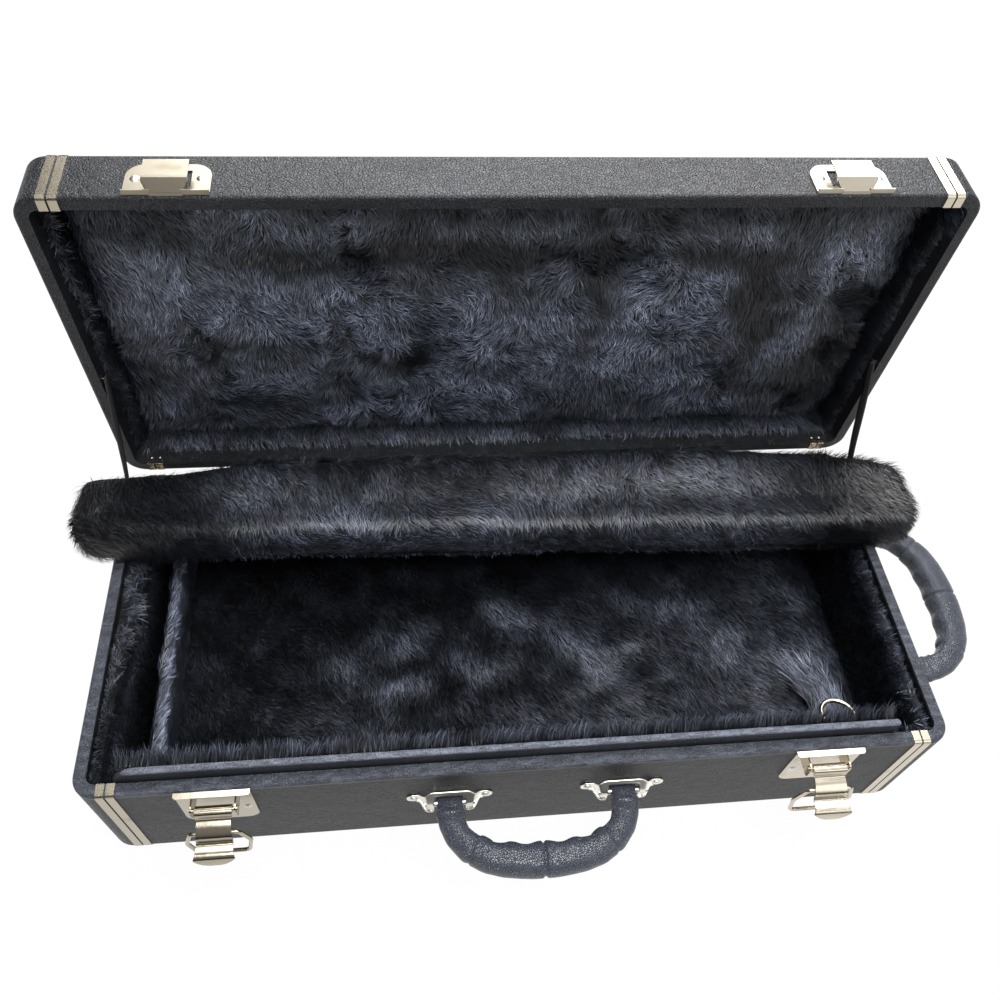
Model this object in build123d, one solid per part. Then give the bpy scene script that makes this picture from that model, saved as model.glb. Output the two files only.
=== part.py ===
from build123d import *
import os
from math import atan2, cos, degrees, hypot, radians, sin

# A vinyl-covered wooden trumpet case, standing on its base with the lid open.
# Frame: millimetres, +Z up, the front wall faces -Y, the hinges are at +Y,
# and the origin is the centre of the underside.

# ---- case ----
case_width = 600.0
case_depth = 264.0
body_height = 106.0
lid_height = 42.0
rim_gap = 1.6
corner_radius = 16.0
edge_radius = 4.0
rim_radius = 2.4
vinyl = 0.8
board = 7.0
panel = 4.0
rim_fold = 10.0
wall_lining = 8.0
floor_lining = 14.0
lid_lining = 10.0
wedge_depth = 8.2
wedge_front_y = -86.0
wedge_rear_y = 46.0
lid_lining_start = 14.0
lid_rim_fold = lid_lining_start - 0.3
lining_gap = 0.3
front_y = -case_depth / 2
rear_y = case_depth / 2
side_x = case_width / 2
lid_rim_z = body_height + rim_gap
wall_thickness = vinyl + board + vinyl

# ---- hinges ----
hinge_standoff = 1.5
hinge_y = rear_y + hinge_standoff
hinge_z = body_height + rim_gap / 2
lid_open_angle = 87.75
hinge_stations = (-190.0, 0.0, 190.0)
hinge_length = 60.0
leaf_height = 22.0
leaf_thickness = 1.2
knuckle_radius = 2.0
hinge_pin_radius = 1.0
running_clearance = 0.05

# ---- front lip ----
lip_start_x = -275.0
lip_end_x = 261.0
lip_rise = 12.5
lip_reach_down = 46.0
lip_board = 3.2
lip_offset = 1.0
lip_edge_radius = 2.0

# ---- end divider ----
divider_x = -264.0
divider_turn = 1.0
divider_board = 3.0
divider_plush = 3.0
divider_thickness = divider_board + 2 * divider_plush
divider_top_z = 60.0

# ---- metal bands ----
band_centre_x = 277.5
band_width = 5.4
band_pitch = 6.6
band_thickness = 0.6
band_inside = 3.0
band_lowest_z = 1.4
nail_radius = 1.3

# ---- latches ----
latch_stations = {"left": -210.5, "right": 210.5}
plate_width = 49.0
plate_top_z = 104.4
plate_bottom_z = 53.0
plate_thickness = 1.0
plate_corner = 9.0
flange_depth = 4.0
ear_offset = 13.6
ear_reach = 11.0
ear_height = 13.0
latch_pin_u = 8.0
latch_pin_z = 92.0
latch_pin_radius = 1.5
lever_width = 24.0
lever_tip_width = 27.0
lever_sheet = 1.2
lever_steps = 28
lever_open_below_level = 31.0
ring_pivot_distance = 15.0
ring_wire = 2.8
ring_reach = 40.0
ring_bulge = 21.0
ring_bar_half = 13.0
ring_closed_u = 5.2
rivet_radius = 2.9

# ---- lid catches ----
catch_width = 50.0
catch_low = 2.2
catch_high = 30.0
catch_flange = 3.6
hook_half_width = 13.2
hook_outset = 8.6
hook_low = 3.2
hook_knee = 9.0
hook_high = 23.5
window_low = 8.0
window_high = 24.0

# ---- handles ----
handle_pitch = 123.0
handle_reach = 42.6
front_handle_x = 6.5
front_handle_z = 66.0
side_handle_y = -6.0
side_handle_z = 86.0
bracket_length = 60.0
bracket_height = 18.0
bracket_tip_half_height = 5.0
bracket_sheet = 1.2
bracket_outset = 8.6
axle_u = 5.6
axle_radius = 2.2
axle_length = 35.0
loop_radius = 4.6
loop_length = 19.0
grip_swell = 0.5
core_width = 8.0
core_thickness = 2.2

# ---- bolster ----
bolster_core_length = 544.0
bolster_length = 644.0
bolster_turn = -1.6
bolster_centre_y = 67.0
bolster_shift_y = -0.6
bolster_strap_room = 5.7
bolster_skin = 3.0
bolster_rest_z = body_height + 0.5

# ---- stay straps ----
strap_x = 289.5
strap_width = 9.0
strap_thickness = 1.0
strap_lid_a = 104.0
strap_lid_b = 6.0
strap_body_y = 80.0
strap_body_z = 100.5

# ---- lining ring ----
lining_ring_x = 230.5
lining_ring_radius = 12.0
lining_ring_wire = 3.2
lining_ring_z = 97.0


def outline(inset, corner=corner_radius):
    """The plan outline of the case, drawn in by inset all round."""
    radius = max(corner - inset, 2.0)
    return RectangleRounded(case_width - 2 * inset, case_depth - 2 * inset, radius)


def column(inset, z_low, z_high):
    """An upright block of the case's plan, drawn in by inset."""
    return Pos(0, 0, z_low) * extrude(outline(inset), z_high - z_low)


def slab(x_low, x_high, y_low, y_high, z_low, z_high):
    """An axis-aligned block between two corners."""
    size = (x_high - x_low, y_high - y_low, z_high - z_low)
    middle = ((x_low + x_high) / 2, (y_low + y_high) / 2, (z_low + z_high) / 2)
    return Pos(*middle) * Box(*size)


def rounded_column(inset, z_low, z_high, low_edge, high_edge):
    """A column whose bottom and top outer edges are rounded."""
    block = column(inset, z_low, z_high)
    block = fillet(block.edges().group_by(Axis.Z)[0], low_edge)
    return fillet(block.edges().group_by(Axis.Z)[-1], high_edge)


def opened(shape):
    """A lid piece drawn shut, swung open about the hinge line."""
    hinge_line = Axis((0, hinge_y, hinge_z), (-1, 0, 0))
    return shape.rotate(hinge_line, lid_open_angle)


def solids_of(shapes):
    """Several separate solids kept together as one node."""
    return Compound(children=list(shapes))


# ---- the body of the case ----

def body_solids():
    """The board walls, the floor panel and the vinyl skins of the lower half."""
    top = body_height
    outer = rounded_column(0, 0, top, edge_radius, rim_radius)
    wood = rounded_column(vinyl, vinyl, top - vinyl, edge_radius - vinyl, rim_radius - vinyl)
    hollow = column(vinyl + board, -1, top + 1)
    frame = wood - hollow
    floor_panel = column(vinyl + board, vinyl, vinyl + panel)
    skin = outer - column(wall_thickness, -1, top + 1) - wood
    fold = column(vinyl + board, top - rim_fold, top - vinyl) - column(wall_thickness, 0, top + 1)
    side_skin = (skin & slab(-side_x, side_x, front_y, rear_y, edge_radius, top)) + fold
    base_skin = (outer - wood) & slab(-side_x, side_x, front_y, rear_y, 0, edge_radius)
    return {
        "body_frame": frame,
        "body_floor_panel": floor_panel,
        "body_side_covering": side_skin,
        "body_base_covering": base_skin,
    }


def body_lining():
    """The plush-covered padding inside the lower half."""
    low = vinyl + panel
    high = body_height - rim_fold - lining_gap
    outer_inset = vinyl + board
    inner_inset = outer_inset + wall_lining
    walls = column(outer_inset, low, high) - column(inner_inset, low - 1, high + 1)
    lip_room = slab(
        lip_start_x - 1, lip_end_x + 1,
        front_y + vinyl + board, front_y + wall_thickness + lip_offset + lip_board + 2 * vinyl + 0.2,
        body_height - lip_reach_down - 0.5, body_height,
    )
    inner_x = inner_inset - side_x
    plan = make_face(Polyline(
        (inner_x - 1, wedge_front_y), (inner_x, wedge_front_y), (inner_x + wedge_depth, wedge_rear_y),
        (inner_x + wedge_depth, rear_y - inner_inset + 1), (inner_x - 1, rear_y - inner_inset + 1),
        (inner_x - 1, wedge_front_y),
    ))
    wedge = Pos(0, 0, low) * extrude(plan, high - low) & column(outer_inset, low, high)
    floor_pad = column(inner_inset + lining_gap, low, low + floor_lining) - wedge
    return {"body_wall_lining": walls - lip_room + wedge, "body_floor_lining": floor_pad}


def divider_block(thickness, wall_space, z_low, z_high):
    """An upright slab across the left end, nearer to the end wall at the rear."""
    inner = column(vinyl + board + wall_lining + wall_space, z_low, z_high)
    plate = Pos(divider_x, 0, 0) * Rot(0, 0, divider_turn) * slab(
        -thickness / 2, thickness / 2, -case_depth, case_depth, z_low, z_high
    )
    return plate & inner


def end_divider():
    """The plush-covered board that closes off a narrow pocket at the left end."""
    floor_z = vinyl + panel + floor_lining
    cover = divider_block(divider_thickness, lining_gap, floor_z, divider_top_z)
    wood = divider_block(
        divider_board, lining_gap + divider_plush, floor_z + divider_plush, divider_top_z - divider_plush
    )
    return {"end_divider_board": wood, "end_divider_cover": cover - wood}


def lip_profile(inset):
    """The front lip's face: low at its ends, which rise in a quarter round."""
    low = body_height - lip_reach_down + inset
    high = body_height + lip_rise - inset
    left = lip_start_x + inset
    right = lip_end_x - inset
    bend = lip_rise + 6.0
    edge = Polyline((right, high - 3), (right, low), (left, low), (left, high - bend))
    left_round = RadiusArc((left, high - bend), (left + bend, high), bend)
    top = Line((left + bend, high), (right - 3, high))
    right_round = RadiusArc((right - 3, high), (right, high - 3), 3)
    return make_face([edge, left_round, top, right_round])


def front_lip():
    """The thin board that stands up inside the front wall, and its vinyl cover."""
    near = front_y + wall_thickness + lip_offset
    cover_depth = lip_board + 2 * vinyl
    cover_face = Plane((0, near + cover_depth, 0), x_dir=(1, 0, 0), z_dir=(0, -1, 0))
    board_face = Plane((0, near + vinyl + lip_board, 0), x_dir=(1, 0, 0), z_dir=(0, -1, 0))
    cover = extrude(cover_face * lip_profile(0), cover_depth)
    top_edges = [
        edge for edge in cover.edges().filter_by(Axis.Y, reverse=True)
        if edge.center().Z > body_height - 6
    ]
    cover = fillet(top_edges, lip_edge_radius)
    wood = extrude(board_face * lip_profile(vinyl), lip_board)
    return {"front_lip_board": wood, "front_lip_covering": cover - wood}


# ---- the lid ----

def lid_solids():
    """The board walls, the top panel and the vinyl skins of the lid, drawn shut."""
    low = lid_rim_z
    top = low + lid_height
    outer = rounded_column(0, low, top, rim_radius, edge_radius)
    wood = rounded_column(vinyl, low + vinyl, top - vinyl, rim_radius - vinyl, edge_radius - vinyl)
    hollow = column(vinyl + board, low - 1, top + 1)
    frame = wood - hollow
    top_panel = column(vinyl + board, top - vinyl - panel, top - vinyl)
    skin = outer - column(wall_thickness, low - 1, top + 1) - wood
    fold = column(vinyl + board, low + vinyl, low + lid_rim_fold) - column(wall_thickness, low - 1, top)
    side_skin = (skin & slab(-side_x, side_x, front_y, rear_y, low, top - edge_radius)) + fold
    top_skin = (outer - wood) & slab(-side_x, side_x, front_y, rear_y, top - edge_radius, top)
    return {
        "lid_frame": frame,
        "lid_top_panel": top_panel,
        "lid_side_covering": side_skin,
        "lid_top_covering": top_skin,
    }


def lid_linings():
    """The plush-covered padding inside the lid, drawn shut."""
    high = lid_rim_z + lid_height - vinyl - panel
    outer_inset = vinyl + board
    inner_inset = outer_inset + wall_lining
    start = lid_rim_z + lid_lining_start
    walls = column(outer_inset, start, high) - column(inner_inset, start - 1, high + 1)
    top_pad = column(inner_inset + lining_gap, high - lid_lining, high)
    return {"lid_wall_lining": walls, "lid_panel_lining": top_pad}


# ---- metal bands ----

def wall_section(z_low, z_high, floor_at_bottom):
    """The front-to-rear section of one half: two walls joined by its floor or top."""
    block = Rectangle(case_depth, z_high - z_low)
    bottom = edge_radius if floor_at_bottom else rim_radius
    top = rim_radius if floor_at_bottom else edge_radius
    block = fillet(block.vertices().group_by(Axis.Y)[0], bottom)
    block = fillet(block.vertices().group_by(Axis.Y)[-1], top)
    hollow_low = 20 if floor_at_bottom else -20
    hollow = Pos(0, hollow_low) * Rectangle(case_depth - 2 * wall_thickness, z_high - z_low)
    return Pos(0, (z_low + z_high) / 2) * (block - hollow)


def band_pair(z_low, z_high, floor_at_bottom, centre_x):
    """Two nickel strips that run up the front and rear walls and over their rims."""
    section = wall_section(z_low, z_high, floor_at_bottom)
    wrap = offset(section, amount=band_thickness, kind=Kind.ARC) - section
    rim_z = z_high if floor_at_bottom else z_low
    inward = -1 if floor_at_bottom else 1
    inner_low = min(rim_z + inward * band_inside, rim_z + inward * 300)
    inner_high = max(rim_z + inward * band_inside, rim_z + inward * 300)
    inner = Pos(0, (inner_low + inner_high) / 2) * Rectangle(
        case_depth - 2 * wall_thickness + 0.2, inner_high - inner_low
    )
    far_z = z_low if floor_at_bottom else z_high
    end_z = far_z - inward * band_lowest_z
    base = Pos(0, end_z + inward * 50) * Rectangle(case_depth + 20, 100)
    strip = wrap - inner - base
    on_case = Plane((0, 0, 0), x_dir=(0, 1, 0), z_dir=(1, 0, 0))
    strips = []
    for side in (-1, 1):
        x = centre_x + side * band_pitch / 2 - band_width / 2
        strips += (Pos(x, 0, 0) * extrude(on_case * strip, band_width)).solids()
    return strips


def bands():
    """The band pairs of the body and the lid, left and right."""
    nodes = {}
    lid_low = lid_rim_z
    lid_high = lid_rim_z + lid_height
    for side, sign in (("left", -1), ("right", 1)):
        x = sign * band_centre_x
        nodes["body_bands_" + side] = solids_of(band_pair(0, body_height, True, x))
        lid_pair = band_pair(lid_low, lid_high, False, x)
        nodes["lid_bands_" + side] = opened(solids_of(lid_pair))
    return nodes


def dome_nail(radius, height):
    """A small domed head, its flat side on the XY plane."""
    sphere_radius = (radius ** 2 + height ** 2) / (2 * height)
    head = Pos(0, 0, height - sphere_radius) * Sphere(sphere_radius)
    return head & Pos(0, 0, height / 2) * Cylinder(radius, height)


def band_nails():
    """The nails through the inside ends of the bands."""
    z_inside = body_height - 6.5
    body = []
    lid = []
    for sign in (-1, 1):
        for step in (-1, 1):
            x = sign * band_centre_x + step * band_pitch / 2
            for wall_y, facing in ((front_y + wall_thickness, 1), (rear_y - wall_thickness, -1)):
                turn = Rot(-90 * facing, 0, 0)
                if facing < 0:
                    body.append(Pos(x, wall_y, z_inside) * turn * dome_nail(nail_radius, 0.7))
                lid.append(Pos(x, wall_y, lid_rim_z + 6.5) * turn * dome_nail(nail_radius, 0.7))
    return {"body_band_nails": solids_of(body), "lid_band_nails": opened(solids_of(lid))}


# ---- hinges ----

def hinge_leaf(toward_lid):
    """One leaf with its knuckles, at the middle of the case."""
    z_sign = 1 if toward_lid else -1
    thirds = hinge_length / 3
    low, high = sorted((hinge_z + z_sign * 1.0, hinge_z + z_sign * leaf_height))
    leaf = slab(-hinge_length / 2, hinge_length / 2, rear_y, rear_y + leaf_thickness, low, high)
    spans = [(-thirds / 2, thirds / 2)] if toward_lid else [
        (-hinge_length / 2, -thirds / 2), (thirds / 2, hinge_length / 2)
    ]
    bore = hinge_pin_radius + (running_clearance if toward_lid else 0)
    shape = leaf
    cutter = []
    edges = (-hinge_length / 2, -thirds / 2, thirds / 2, hinge_length / 2)
    for start, end in zip(edges, edges[1:]):
        own = (start, end) in spans
        middle = Pos((start + end) / 2, hinge_y, hinge_z) * Rot(0, 90, 0)
        if own:
            length = end - start - 0.4
            web_low, web_high = sorted((hinge_z, hinge_z + z_sign * 2.4))
            web = slab(start + 0.2, end - 0.2, rear_y, hinge_y, web_low, web_high)
            shape += middle * Cylinder(knuckle_radius, length) + web
        else:
            cutter.append(middle * Cylinder(knuckle_radius + 0.5, end - start))
    for piece in cutter:
        shape -= piece
    shape -= Pos(0, hinge_y, hinge_z) * Rot(0, 90, 0) * Cylinder(bore, hinge_length + 2)
    return shape


def hinge_rivet_places(toward_lid):
    """Where the rivet heads sit on the leaves."""
    z_sign = 1 if toward_lid else -1
    places = []
    for station in hinge_stations:
        for x in (-22.0, 0.0, 22.0):
            places.append((station + x, rear_y + leaf_thickness, hinge_z + z_sign * 14.0))
    return places


def hinges():
    """Three butt hinges on the rear wall, their pins and their rivets."""
    body_leaves = [Pos(x, 0, 0) * hinge_leaf(False) for x in hinge_stations]
    lid_leaves = [Pos(x, 0, 0) * hinge_leaf(True) for x in hinge_stations]
    pins = [
        Pos(x, hinge_y, hinge_z) * Rot(0, 90, 0) * Cylinder(hinge_pin_radius, hinge_length + 0.8)
        for x in hinge_stations
    ]
    head = Rot(-90, 0, 0) * dome_nail(2.4, 1.1)
    body_heads = [Pos(*place) * head for place in hinge_rivet_places(False)]
    lid_heads = [Pos(*place) * head for place in hinge_rivet_places(True)]
    return {
        "hinge_leaves_body": solids_of(body_leaves),
        "hinge_leaves_lid": opened(solids_of(lid_leaves)),
        "hinge_pins": solids_of(pins),
        "hinge_rivets_body": solids_of(body_heads),
        "hinge_rivets_lid": opened(solids_of(lid_heads)),
    }


# ---- latches: local frame, -Y out of the wall, x = 0 at the latch's middle ----

def upright_plate(width, z_low, z_high, corner, y_near, thickness):
    """A plate on the wall with two rounded lower corners."""
    face = Pos(0, (z_low + z_high) / 2) * Rectangle(width, z_high - z_low)
    face = fillet(face.vertices().group_by(Axis.Y)[0], corner)
    plane = Plane((0, y_near, 0), x_dir=(1, 0, 0), z_dir=(0, -1, 0))
    return extrude(plane * face, thickness)


def latch_plate():
    """The body plate: flat back, shelf along its top and two pierced ears."""
    plate = upright_plate(plate_width, plate_bottom_z, plate_top_z, plate_corner, 0, plate_thickness)
    shelf = slab(
        -plate_width / 2, plate_width / 2, -flange_depth, 0,
        plate_top_z - plate_thickness, plate_top_z,
    )
    shelf = fillet(shelf.edges().filter_by(Axis.Z).group_by(Axis.Y)[0], 2.0)
    plate += shelf
    ear_low = latch_pin_z - ear_height / 2 - 2
    for sign in (-1, 1):
        ear = slab(-0.6, 0.6, -ear_reach, 0, ear_low, ear_low + ear_height)
        ear = fillet(ear.edges().filter_by(Axis.X).group_by(Axis.Y)[0], 3.0)
        plate += Pos(sign * (ear_offset + 0.6), 0, 0) * ear
    bore = Pos(0, -latch_pin_u, latch_pin_z) * Rot(0, 90, 0) * Cylinder(latch_pin_radius, 60)
    return plate - bore


def latch_pin():
    """The riveted pin through the ears, with a low head at each end."""
    half = ear_offset + 1.2
    shaft = Rot(0, 90, 0) * Cylinder(latch_pin_radius, 2 * half)
    heads = [Pos(sign * (half + 0.35), 0, 0) * Rot(0, 90, 0) * Cylinder(2.2, 0.7) for sign in (-1, 1)]
    return Pos(0, -latch_pin_u, latch_pin_z) * (shaft + heads)


def lever_profile():
    """The lever's wavy section, from its knuckle at the origin towards +X, height in Y."""
    wave = Spline(
        (-1.0, 2.2), (3.2, 2.6), (6.2, 0.6), (9.0, 1.2), (13.5, 1.6), (18.0, 0.9),
        (22.0, -1.2), (26.0, 0.9), (30.0, 2.2), (33.0, 0.6), (35.6, -2.6),
    )
    upper = []
    lower = []
    for step in range(lever_steps + 1):
        point = wave @ (step / lever_steps)
        along = wave % (step / lever_steps)
        shift = Vector(-along.Y, along.X) * lever_sheet / 2
        upper.append(point + shift)
        lower.append(point - shift)
    ends = [Line(upper[-1], lower[-1]), Line(lower[0], upper[0])]
    return make_face([Spline(*upper), Spline(*lower)] + ends)


def latch_lever():
    """The lever drawn level and pointing out (-Y) from its pin at the origin."""
    side_plane = Plane((0, 0, 0), x_dir=(0, -1, 0), z_dir=(-1, 0, 0))
    sheet = extrude(side_plane * lever_profile(), lever_tip_width / 2, both=True)
    top_view = Plane((0, 0, -20), x_dir=(0, -1, 0), z_dir=(0, 0, 1))
    half = lever_width / 2
    tip = lever_tip_width / 2
    flank = [(-4, half), (4.5, half), (6.5, half - 1), (17, half - 0.4), (27, half + 0.2), (31.5, tip)]
    other_flank = [(x, -y) for x, y in flank]
    plan = make_face([
        Polyline(*reversed(flank), *other_flank),
        ThreePointArc((31.5, -tip), (36.4, 0), (31.5, tip)),
    ])
    sheet = sheet & extrude(top_view * plan, 40)
    knuckle = Rot(0, 90, 0) * Cylinder(2.9, lever_width - 0.4)
    shape = sheet + knuckle
    for sign in (-1, 1):
        lug = slab(-0.6, 0.6, -ring_pivot_distance - 3.2, -ring_pivot_distance + 3.2, -3.4, 1.6)
        lug = fillet(lug.edges().filter_by(Axis.X).group_by(Axis.Z)[0], 2.2)
        shape += Pos(sign * (half - 1.4), 0, 0) * lug
    ring_bore = Pos(0, -ring_pivot_distance, 0) * Rot(0, 90, 0)
    shape -= ring_bore * Cylinder(ring_wire / 2 + running_clearance, 60)
    return shape - Rot(0, 90, 0) * Cylinder(latch_pin_radius + running_clearance, 60)


def latch_ring():
    """The wire ring that hangs from the lever, drawn hanging from the origin."""
    half = lever_width / 2
    inner_end = half - 2.6
    route = [
        (-inner_end, 0), (-(half + 3.6), 0), (-ring_bulge, -18), (-(ring_bar_half + 4), -ring_reach),
        (ring_bar_half + 4, -ring_reach), (ring_bulge, -18), (half + 3.6, 0), (inner_end, 0),
    ]
    path = FilletPolyline(*[(x, 0, z) for x, z in route], radius=[3, 7, 5, 5, 7, 3])
    start = Plane(origin=(-inner_end, 0, 0), z_dir=(-1, 0, 0))
    return sweep(start * Circle(ring_wire / 2), path=path)


def placed_lever(shape):
    """The lever turned down to where it stands open, on its pin."""
    return Pos(0, -latch_pin_u, latch_pin_z) * Rot(lever_open_below_level, 0, 0) * shape


def ring_pivot():
    """Where the ring turns on the open lever, as (outward, height)."""
    angle = radians(lever_open_below_level)
    out = latch_pin_u + ring_pivot_distance * cos(angle)
    return out, latch_pin_z - ring_pivot_distance * sin(angle)


def latch_rivets():
    """The two plate rivets of one latch."""
    head = Rot(90, 0, 0) * dome_nail(rivet_radius, 1.3)
    return [Pos(sign * 18.6, -plate_thickness, 74.0) * head for sign in (-1, 1)]


def latches():
    """Both draw latches on the front wall."""
    nodes = {}
    rivets = []
    out, height = ring_pivot()
    for side, x in latch_stations.items():
        place = Pos(x, front_y, 0)
        nodes["latch_plate_" + side] = place * latch_plate()
        nodes["latch_pin_" + side] = place * latch_pin()
        nodes["latch_lever_" + side] = place * placed_lever(latch_lever())
        nodes["latch_ring_" + side] = place * Pos(0, -out, height) * latch_ring()
        rivets += [place * rivet for rivet in latch_rivets()]
    nodes["latch_rivets"] = solids_of(rivets)
    return nodes


# ---- lid catches: local frame as the latches, heights counted from the lid's rim ----

def catch_plate():
    """The lid plate: two lugs joined by a sheet hook that the ring pulls on."""
    plane = Plane((0, 0, 0), x_dir=(1, 0, 0), z_dir=(0, -1, 0))
    face = Pos(0, (catch_low + catch_high) / 2) * Rectangle(catch_width, catch_high - catch_low)
    face = fillet(face.vertices().group_by(Axis.Y)[-1], 11.0)
    window = Pos(0, (window_low + window_high) / 2) * Rectangle(
        2 * (hook_half_width + 0.3), window_high - window_low
    )
    plate = extrude(plane * (face - window), plate_thickness)
    for sign in (-1, 1):
        flange = slab(-8.2, 8.2, -catch_flange, 0, catch_low, catch_low + plate_thickness)
        plate += Pos(sign * (catch_width / 2 - 8.2), 0, 0) * flange
    bent = Polyline((0.0, catch_low), (1.6, catch_low + 0.4), (hook_outset - 0.4, hook_knee - 1.2),
                    (hook_outset, hook_knee), (hook_outset, hook_high))
    ribbon = make_face(offset(bent, amount=plate_thickness / 2, side=Side.BOTH))
    side_plane = Plane((0, 0, 0), x_dir=(0, -1, 0), z_dir=(-1, 0, 0))
    hook = extrude(side_plane * ribbon, hook_half_width, both=True)
    front_view = make_face(Polyline(
        (-9.5, -5), (-9.5, catch_low), (-hook_half_width, catch_low + 4.2), (-hook_half_width, 40),
        (hook_half_width, 40), (hook_half_width, catch_low + 4.2), (9.5, catch_low), (9.5, -5), (-9.5, -5),
    ))
    hook = hook & (Pos(0, 0.5, 0) * extrude(plane * front_view, 20))
    hook = hook & slab(-30, 30, -20, 0, catch_low - 1, 40)
    bridge = slab(-catch_width / 2 + 1, catch_width / 2 - 1, -plate_thickness, 0, catch_low, catch_low + 1.8)
    return plate + hook + bridge


def catches():
    """Both catches on the lid's front wall, drawn shut and then swung open."""
    nodes = {}
    rivets = []
    head = Rot(90, 0, 0) * dome_nail(rivet_radius, 1.3)
    for side, x in latch_stations.items():
        place = Pos(x, front_y, lid_rim_z)
        nodes["catch_plate_" + side] = opened(place * catch_plate())
        for sign in (-1, 1):
            rivets.append(place * Pos(sign * 19.2, -plate_thickness, 16.5) * head)
    nodes["catch_rivets"] = opened(solids_of(rivets))
    return nodes


# ---- handles: local frame, x along the handle, -Y out of the wall, z = 0 at the pivots ----

def bracket():
    """A bent nickel bridge with rounded ends and a window for the grip's loop."""
    half = bracket_length / 2
    rise = bracket_outset
    line = FilletPolyline(
        (-half, 0.6), (-20.5, 0.6), (-14.5, rise), (14.5, rise), (20.5, 0.6), (half, 0.6), radius=2.4
    )
    ribbon = make_face(offset(line, amount=bracket_sheet / 2, side=Side.BOTH))
    strip = Pos(0, 0, -bracket_height / 2) * extrude(mirror(ribbon, Plane.XZ), bracket_height)
    tip = bracket_tip_half_height
    rounded = make_face(Polyline(
        (-half, -tip), (-17, -bracket_height / 2), (17, -bracket_height / 2), (half, -tip),
        (half, tip), (17, bracket_height / 2), (-17, bracket_height / 2), (-half, tip), (-half, -tip),
    ))
    rounded = fillet(rounded.vertices().filter_by_position(Axis.X, half - 1, half + 1), tip - 0.2)
    rounded = fillet(rounded.vertices().filter_by_position(Axis.X, -half - 1, 1 - half), tip - 0.2)
    wall = Plane((0, 1, 0), x_dir=(1, 0, 0), z_dir=(0, -1, 0))
    strip = strip & extrude(wall * rounded, 20)
    window = slab(-loop_length / 2 - 0.6, loop_length / 2 + 0.6, -20, 5, -bracket_height, 6.4)
    strip -= window
    bore = Pos(0, -axle_u, 0) * Rot(0, 90, 0) * Cylinder(axle_radius, 60)
    return (strip - bore) & slab(-half, half, -20, 0, -20, 20)


def handle_axle():
    """The steel axle across one bracket, its ends set in the sloping sides."""
    return Pos(0, -axle_u, 0) * Rot(0, 90, 0) * Cylinder(axle_radius, axle_length)


def grip_stations(swell):
    """Section places along half of the grip: (x, outward, half width, half height)."""
    reach = handle_reach
    half = handle_pitch / 2
    return [
        (half, 8.0, 9.3, 4.8), (half - 1.0, 14.5, 9.6, 6.4), (half - 5.0, reach - 19.6, 9.9, 8.0),
        (half - 13.0, reach - 10.6, 10.3, 9.2), (half - 24.0, reach - 4.6, 10.8, 9.8),
        (half - 35.0, reach - 1.8, 11.0 + swell, 10.2), (half - 44.5, reach - 0.6, 11.2, 10.4),
        (half - 53.0, reach, 11.6 + swell, 10.6),
    ]


def grip_sections():
    """Oval sections from one end of the grip to the other, square to its bow."""
    right = grip_stations(grip_swell)
    middle = (0.0, handle_reach + 0.2, 11.7, 10.6)
    left = [(-x, out, width, height) for x, out, width, height in reversed(right)]
    stations = right + [middle] + left
    sections = []
    for i, (x, out, width, height) in enumerate(stations):
        before = stations[max(i - 1, 0)]
        after = stations[min(i + 1, len(stations) - 1)]
        if i in (0, len(stations) - 1):
            along = (0, -1 if i == 0 else 1, 0)
        else:
            along = (after[0] - before[0], -(after[1] - before[1]), 0)
        plane = Plane(origin=(x, -out, 0), x_dir=(0, 0, 1), z_dir=along)
        sections.append(plane * Ellipse(height, width))
    return sections


def grip_core():
    """The flat steel bow inside the grip."""
    half = handle_pitch / 2
    reach = handle_reach
    line = FilletPolyline(
        (half, -9), (half, -22), (half - 15, 6.6 - reach), (half - 34, -reach), (34 - half, -reach),
        (15 - half, 6.6 - reach), (-half, -22), (-half, -9), radius=[12, 14, 20, 20, 14, 12],
    )
    ribbon = make_face(offset(line, amount=core_thickness / 2, side=Side.BOTH))
    return extrude(ribbon, core_width / 2, both=True)


def grip():
    """The moulded grip with its end loops and the steel core inside it."""
    bow = Pos(0, -axle_u, 0)
    body = loft(grip_sections())
    core = grip_core()
    loops = []
    for sign in (-1, 1):
        barrel = Pos(sign * handle_pitch / 2, 0, 0) * Rot(0, 90, 0) * Cylinder(loop_radius, loop_length)
        neck = slab(-loop_length / 2, loop_length / 2, -9.0, 0, -loop_radius + 0.1, loop_radius - 0.1)
        loops.append(barrel + Pos(sign * handle_pitch / 2, 0, 0) * neck)
    shape = body + loops
    for sign in (-1, 1):
        shape -= (
            Pos(sign * handle_pitch / 2, 0, 0) * Rot(0, 90, 0)
            * Cylinder(axle_radius + running_clearance, loop_length + 4)
        )
    return bow * (shape - core), bow * core


def handle_set(place):
    """One handle: two brackets, two axles, the grip and its core."""
    half = handle_pitch / 2
    moulding, core = grip()
    return {
        "brackets": [place * Pos(sign * half, 0, 0) * bracket() for sign in (-1, 1)],
        "axles": [place * Pos(sign * half, 0, 0) * handle_axle() for sign in (-1, 1)],
        "grip": place * moulding,
        "core": place * core,
    }


def bracket_rivets(place):
    """Four domed rivets in the rounded ends of one handle's brackets."""
    head = Rot(90, 0, 0) * dome_nail(2.3, 1.3)
    heads = []
    for sign in (-1, 1):
        for step in (-1, 1):
            x = sign * handle_pitch / 2 + step * 25.2
            heads.append(place * Pos(x, -bracket_sheet, 0) * head)
    return heads


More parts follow.
